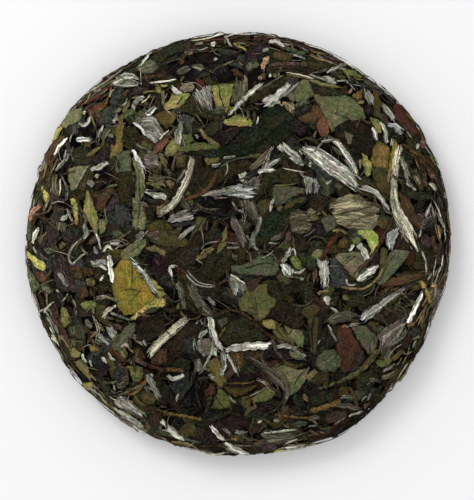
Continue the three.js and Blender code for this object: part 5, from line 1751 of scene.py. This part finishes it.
# Mesh of each kind, or else of each tint
GROUPS = {
    "hairy": "silver_leaves", "bud": "buds", "stem": "stems", "strip": "strands", "crumb": "strands",
    "fibre": "fibres",
}
GREEN_TINTS = ("sage", "pale_olive", "olive", "lime", "bright_green", "mid_green", "straw", "grey_green")
DARK_TINTS = (
    "dark", "dark_olive", "dark_green", "deep_green", "black", "purple", "plum", "slate", "dark_brown",
    "maroon",
)

# Pieces under this many square millimetres lose up to this share of their own tint
DULL_SIZE = 22
DULL_SHARE = 0.5

# Least lightness of a piece, and how worn the surface of a pale whole leaf is
LEAST_SHADE = 0.6
LEAF_WEAR = 0.55

# Core: its rings and sides, the way from the crown to its foot half in millimetres, and its relief
CORE_RINGS = 90
CORE_SIDES = 200
CORE_MEETING = 123.0
CORE_RELIEF = 0.3
CORE_CREASES = (2.3, 3.1, 4.7, 7.9)


def group_of(piece):
    """Name of the joined mesh that a piece belongs to."""
    if piece.kind in GROUPS:
        return GROUPS[piece.kind]
    if piece.tint in DARK_TINTS:
        return "dark_leaves"
    return "green_leaves" if piece.tint in GREEN_TINTS else "brown_leaves"


def piece_faces(count, rows, start):
    """Corner numbers of the quads over a piece's face, its back and its edge."""
    index = np.arange(count * rows).reshape(count, rows) + start
    drop = count * rows
    a, b, c, d = (part.ravel() for part in (index[:-1, :-1], index[1:, :-1], index[1:, 1:], index[:-1, 1:]))
    loop = np.concatenate([index[:, 0], index[-1, 1:], index[-2::-1, -1], index[0, -2:0:-1]])
    following = np.roll(loop, -1)
    face = np.column_stack([a, b, c, d])
    back = np.column_stack([a, d, c, b]) + drop
    edge = np.column_stack([loop, loop + drop, following + drop, following])
    return np.vstack([face, back]), edge


def mesh_from(name, places, faces, smooth_faces):
    """A Blender mesh of quads."""
    mesh = bpy.data.meshes.new(name)
    mesh.vertices.add(len(places))
    mesh.vertices.foreach_set("co", places.astype(np.float32).ravel())
    mesh.loops.add(faces.size)
    mesh.loops.foreach_set("vertex_index", faces.astype(np.int32).ravel())
    mesh.polygons.add(len(faces))
    mesh.polygons.foreach_set("loop_start", np.arange(0, faces.size, 4, dtype=np.int32))
    mesh.polygons.foreach_set("use_smooth", smooth_faces)
    mesh.update(calc_edges=True)
    return mesh


def tint_of(piece):
    """Colour of a piece, with its wear in place of the alpha."""
    size = piece.along.max() * np.ptp(piece.across)
    dull = DULL_SHARE * max(1 - size / DULL_SIZE, 0)
    colour = np.array(colour_of(piece.tint)) * (1 - dull) + np.array(colour_of("common")) * dull
    colour = colour * max(piece.shade, LEAST_SHADE)
    colour[3] = LEAF_WEAR if piece.kind == "leaf" and piece.tint not in DARK_TINTS else 1.0
    return colour


def sides_of(piece):
    """Points of a piece's face and of its back in metres."""
    skin, face, foot, _ = heap()
    sides = []
    for heights in (piece.face, piece.back):
        level = pressed(foot if piece.under else face, piece.spots, heights, piece.under)
        sides.append(skin.wrap(piece.spots, level, piece.under).reshape(-1, 3))
    return sides


def grain_of(piece):
    """Margin, share of the way, phase, and places along and across in metres, for both its sides."""
    share = piece.along / piece.along.max()
    phase = np.full(piece.face.shape, piece.phase)
    grain = np.stack([piece.margin, share, phase, piece.along / 1000, piece.across / 1000], axis=-1)
    return np.tile(grain.reshape(-1, 5), (2, 1))


def write_grain(mesh, grains, tints):
    """Puts the grain and the tint of every point into the mesh."""
    corners = np.empty(len(mesh.loops), np.int32)
    mesh.loops.foreach_get("vertex_index", corners)
    layer = mesh.uv_layers.new(name="grain_map")
    layer.data.foreach_set("uv", grains[corners, 3:].ravel())
    mesh.attributes.new("grain", "FLOAT_VECTOR", "POINT").data.foreach_set("vector", grains[:, :3].ravel())
    mesh.attributes.new("tint", "FLOAT_COLOR", "POINT").data.foreach_set("color", tints.ravel())


def joined_mesh(name, pieces):
    """One mesh of many pieces, with their grain and tints."""
    places, faces, edges, grains, tints = [], [], [], [], []
    start = 0
    for piece in pieces:
        places += sides_of(piece)
        broad, edge = piece_faces(*piece.face.shape, start)
        faces.append(broad)
        edges.append(edge)
        grains.append(grain_of(piece))
        tints.append(np.tile(tint_of(piece), (len(grains[-1]), 1)))
        start += len(grains[-1])
    faces, edges = np.vstack(faces), np.vstack(edges)
    smooth_faces = np.arange(len(faces) + len(edges)) < len(faces)
    mesh = mesh_from(name, np.vstack(places), np.vstack([faces, edges]), smooth_faces)
    write_grain(mesh, np.vstack(grains).astype(np.float32), np.vstack(tints).astype(np.float32))
    return mesh


def core_mesh():
    """The pressed core: a closed skin under the leaves, rough with broken leaf."""
    skin, face, foot, _ = heap()
    rng = np.random.default_rng(SEED + 1)
    depth = bpy.context.scene.tea_cake_sizes.core_depth * 1000
    halves = []
    for ground, reach in ((face, CORE_MEETING), (foot, skin.total - CORE_MEETING)):
        radius = np.maximum(np.linspace(0, reach, CORE_RINGS), 1e-3)
        angle = np.linspace(0, 2 * np.pi, CORE_SIDES, endpoint=False)
        spots = radius[:, None, None] * np.stack([np.cos(angle), np.sin(angle)], axis=-1)
        rough = CORE_RELIEF * swell(rng, spots, CORE_CREASES) - depth
        under = ground is foot
        halves.append(skin.wrap(spots, pressed(ground, spots, rough, under), under))
    halves[1] = halves[1][::-1, (-np.arange(CORE_SIDES)) % CORE_SIDES]
    rows = np.concatenate([halves[0], halves[1][1:]])
    here = np.arange(rows.shape[0] * CORE_SIDES).reshape(-1, CORE_SIDES)
    there = np.roll(here, -1, axis=1)
    faces = np.stack([here[:-1], here[1:], there[1:], there[:-1]], axis=-1).reshape(-1, 4)
    return mesh_from("core", rows.reshape(-1, 3), faces, np.ones(len(faces), bool))


def show(name, mesh, material):
    """Puts a finished mesh in the scene as a piece of the cake."""
    piece = bpy.data.objects.new(name, mesh)
    bpy.context.collection.objects.link(piece)
    mesh.materials.append(material)
    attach(piece, "root")
    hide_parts("tea_cake")


# Operators


class LayPieces:
    """What the operators of the joined pieces share."""

    def execute(self, _context):
        """Joins the pieces of this group and gives them their finish."""
        pieces = [piece for piece in heap()[3] if group_of(piece) == self.group]
        if not pieces:
            raise RuntimeError(f"no pieces for {self.group}")
        show(self.group, joined_mesh(self.group, pieces), tea_finish(**self.finish))
        return {"FINISHED"}


class TEACAKE_OT_core(bpy.types.Operator):
    """Makes the pressed core that shows in the gaps"""

    bl_idname = "tea_cake.core"
    bl_label = "Pressed Core"

    def execute(self, _context):
        """Makes the core's mesh and finish."""
        show("core", core_mesh(), core_finish())
        return {"FINISHED"}


class TEACAKE_OT_dark_leaves(LayPieces, bpy.types.Operator):
    """Lays the dark leaves and flakes"""

    bl_idname = "tea_cake.dark_leaves"
    bl_label = "Dark Leaves"
    group = "dark_leaves"
    slot = "leaf_dark"
    finish = dict(
        name="dark leaf", down=0.08, vein=0.5, contrast=0.35, roughness=0.55,
        relief=1.0, rust=0.4, wisps_and_sheen=0.16,
    )


class TEACAKE_OT_green_leaves(LayPieces, bpy.types.Operator):
    """Lays the green and olive leaves"""

    bl_idname = "tea_cake.green_leaves"
    bl_label = "Green Leaves"
    group = "green_leaves"
    slot = "leaf_green"
    finish = dict(
        name="green leaf", down=0.04, vein=0.3, contrast=0.3, roughness=0.6,
        relief=1.0, rust=0.4, wisps_and_sheen=0.2,
    )


class TEACAKE_OT_brown_leaves(LayPieces, bpy.types.Operator):
    """Lays the brown, ochre and pale leaves"""

    bl_idname = "tea_cake.brown_leaves"
    bl_label = "Brown Leaves"
    group = "brown_leaves"
    slot = "leaf_brown"
    finish = dict(
        name="brown leaf", down=0.04, vein=0.3, contrast=0.35, roughness=0.6,
        relief=1.0, rust=0.5, wisps_and_sheen=0.2,
    )


class TEACAKE_OT_silver_leaves(LayPieces, bpy.types.Operator):
    """Lays the leaves whose downy backs show"""

    bl_idname = "tea_cake.silver_leaves"
    bl_label = "Downy Leaf Backs"
    group = "silver_leaves"
    slot = "leaf_silver"
    finish = dict(
        name="downy leaf back", down=0.7, vein=0.0, contrast=0.5, roughness=0.75,
        relief=0.6, rust=0.25, wisps_and_sheen=0.1,
    )


class TEACAKE_OT_stems(LayPieces, bpy.types.Operator):
    """Lays the stems"""

    bl_idname = "tea_cake.stems"
    bl_label = "Stems"
    group = "stems"
    slot = "stem"
    finish = dict(
        name="stem", down=0.1, vein=0.0, contrast=0.5, roughness=0.6,
        relief=0.6, rust=0.4, wisps_and_sheen=0.15,
    )


class TEACAKE_OT_strands(LayPieces, bpy.types.Operator):
    """Lays the broken strands and crumbs"""

    bl_idname = "tea_cake.strands"
    bl_label = "Strands and Crumbs"
    group = "strands"
    slot = "leaf_silver"
    finish = dict(
        name="strand", down=0.4, vein=0.0, contrast=0.6, roughness=0.7,
        relief=0.8, rust=0.4, wisps_and_sheen=0.15,
    )


class TEACAKE_OT_fibres(LayPieces, bpy.types.Operator):
    """Lays the loose fibres of down"""

    bl_idname = "tea_cake.fibres"
    bl_label = "Loose Fibres"
    group = "fibres"
    slot = "bud"
    finish = dict(
        name="loose down", down=0.0, vein=0.0, contrast=0.4, roughness=0.8,
        relief=0.3, rust=0.2, wisps_and_sheen=0.0,
    )


class TEACAKE_OT_buds(LayPieces, bpy.types.Operator):
    """Lays the downy buds"""

    bl_idname = "tea_cake.buds"
    bl_label = "Buds"
    group = "buds"
    slot = "bud"
    finish = dict(
        name="bud down", down=0.65, vein=0.0, contrast=0.5, roughness=0.8,
        relief=0.5, rust=0.15, wisps_and_sheen=0.1,
    )


class TEACAKE_OT_stage(bpy.types.Operator):
    """Sets up the pale floor, the soft light and the camera"""

    bl_idname = "tea_cake.stage"
    bl_label = "Stage"

    def execute(self, _context):
        """Makes the floor, the lights and the camera."""
        lay_floor()
        light_scene()
        aim_camera()
        return {"FINISHED"}


# Stage: colours of the floor, the sky's strength, and the lamp's place and width in metres and its
# power in watts, then how far off the cake's middle the camera stands
FLOOR_COLOURS = ((0.84, 0.84, 0.85, 1), (0.87, 0.87, 0.87, 1))
SKY_STRENGTH = 0.9
LAMP_PLACE = (-0.75, 0.85, 1.25)
LAMP_WIDTH = 0.8
LAMP_POWER = 9
CAMERA_OFFSET = (-0.0005, -0.0028)


def lay_floor():
    """A plain pale floor."""
    bpy.ops.mesh.primitive_plane_add(size=bpy.context.scene.tea_cake_sizes.floor_width)
    floor = bpy.context.object
    floor.name = "floor"
    finish = Finish("pale floor")
    place = finish.node("ShaderNodeTexCoord", output=3)
    colour = finish.mix(finish.noise(place, 3.0), *FLOOR_COLOURS)
    floor.data.materials.append(finish.shade(Base_Color=colour, Roughness=0.9, Specular_IOR_Level=0.1))


def light_scene():
    """Even white light all round and a broad lamp at the upper left."""
    world = bpy.data.worlds.new("studio")
    world.use_nodes = True
    sky = world.node_tree.nodes["Background"]
    sky.inputs["Color"].default_value = (1.0, 1.0, 1.0, 1)
    sky.inputs["Strength"].default_value = SKY_STRENGTH
    bpy.context.scene.world = world
    bpy.ops.object.light_add(type="AREA", location=LAMP_PLACE)
    lamp = bpy.context.object
    lamp.name = "key"
    lamp.data.shape = "DISK"
    lamp.data.size = LAMP_WIDTH
    lamp.data.energy = LAMP_POWER
    way = -lamp.location.normalized()
    lamp.rotation_euler = way.to_track_quat("-Z", "Y").to_euler()
    bpy.context.scene.view_settings.view_transform = "Standard"


def aim_camera():
    """A camera straight over the cake, as far off its middle as the picture is."""
    sizes = bpy.context.scene.tea_cake_sizes
    height = WIDEST_HEIGHT / 1000 + sizes.camera_height
    bpy.ops.object.camera_add(location=(*CAMERA_OFFSET, height), rotation=(0, 0, 0))
    camera = bpy.context.object
    camera.data.lens = camera.data.sensor_width * sizes.camera_height / sizes.picture_height
    camera.data.clip_start = 0.01
    bpy.context.scene.camera = camera


class TEACAKE_PT_panel(bpy.types.Panel):
    """Lists the steps and the settings"""

    bl_idname = "TEACAKE_PT_panel"
    bl_label = "White Peony Tea Cake"
    bl_space_type = "VIEW_3D"
    bl_region_type = "UI"
    bl_category = "Tea Cake"

    def draw(self, context):
        """Draws a button for each step, then the sizes and colours."""
        for step in STEPS:
            self.layout.operator(step.bl_idname)
        for settings in (context.scene.tea_cake_sizes, context.scene.tea_cake_colours):
            box = self.layout.box()
            for name in type(settings).__annotations__:
                box.prop(settings, name)


STEPS = (
    TEACAKE_OT_core,
    TEACAKE_OT_dark_leaves,
    TEACAKE_OT_green_leaves,
    TEACAKE_OT_brown_leaves,
    TEACAKE_OT_silver_leaves,
    TEACAKE_OT_stems,
    TEACAKE_OT_strands,
    TEACAKE_OT_buds,
    TEACAKE_OT_fibres,
    TEACAKE_OT_stage,
)
CLASSES = (TeaCakeColours, TeaCakeSizes, *STEPS, TEACAKE_PT_panel)


def register():
    """Adds the settings, the operators and the panel."""
    for item in CLASSES:
        bpy.utils.register_class(item)
    bpy.types.Scene.tea_cake_colours = PointerProperty(type=TeaCakeColours)
    bpy.types.Scene.tea_cake_sizes = PointerProperty(type=TeaCakeSizes)


def unregister():
    """Removes them again."""
    del bpy.types.Scene.tea_cake_sizes
    del bpy.types.Scene.tea_cake_colours
    for item in reversed(CLASSES):
        bpy.utils.unregister_class(item)


def main():
    """Runs every step in order."""
    register()
    bpy.ops.object.select_all(action="DESELECT")
    for step in STEPS:
        group, name = step.bl_idname.split(".")
        getattr(getattr(bpy.ops, group), name)()


if __name__ == "__main__":
    main()
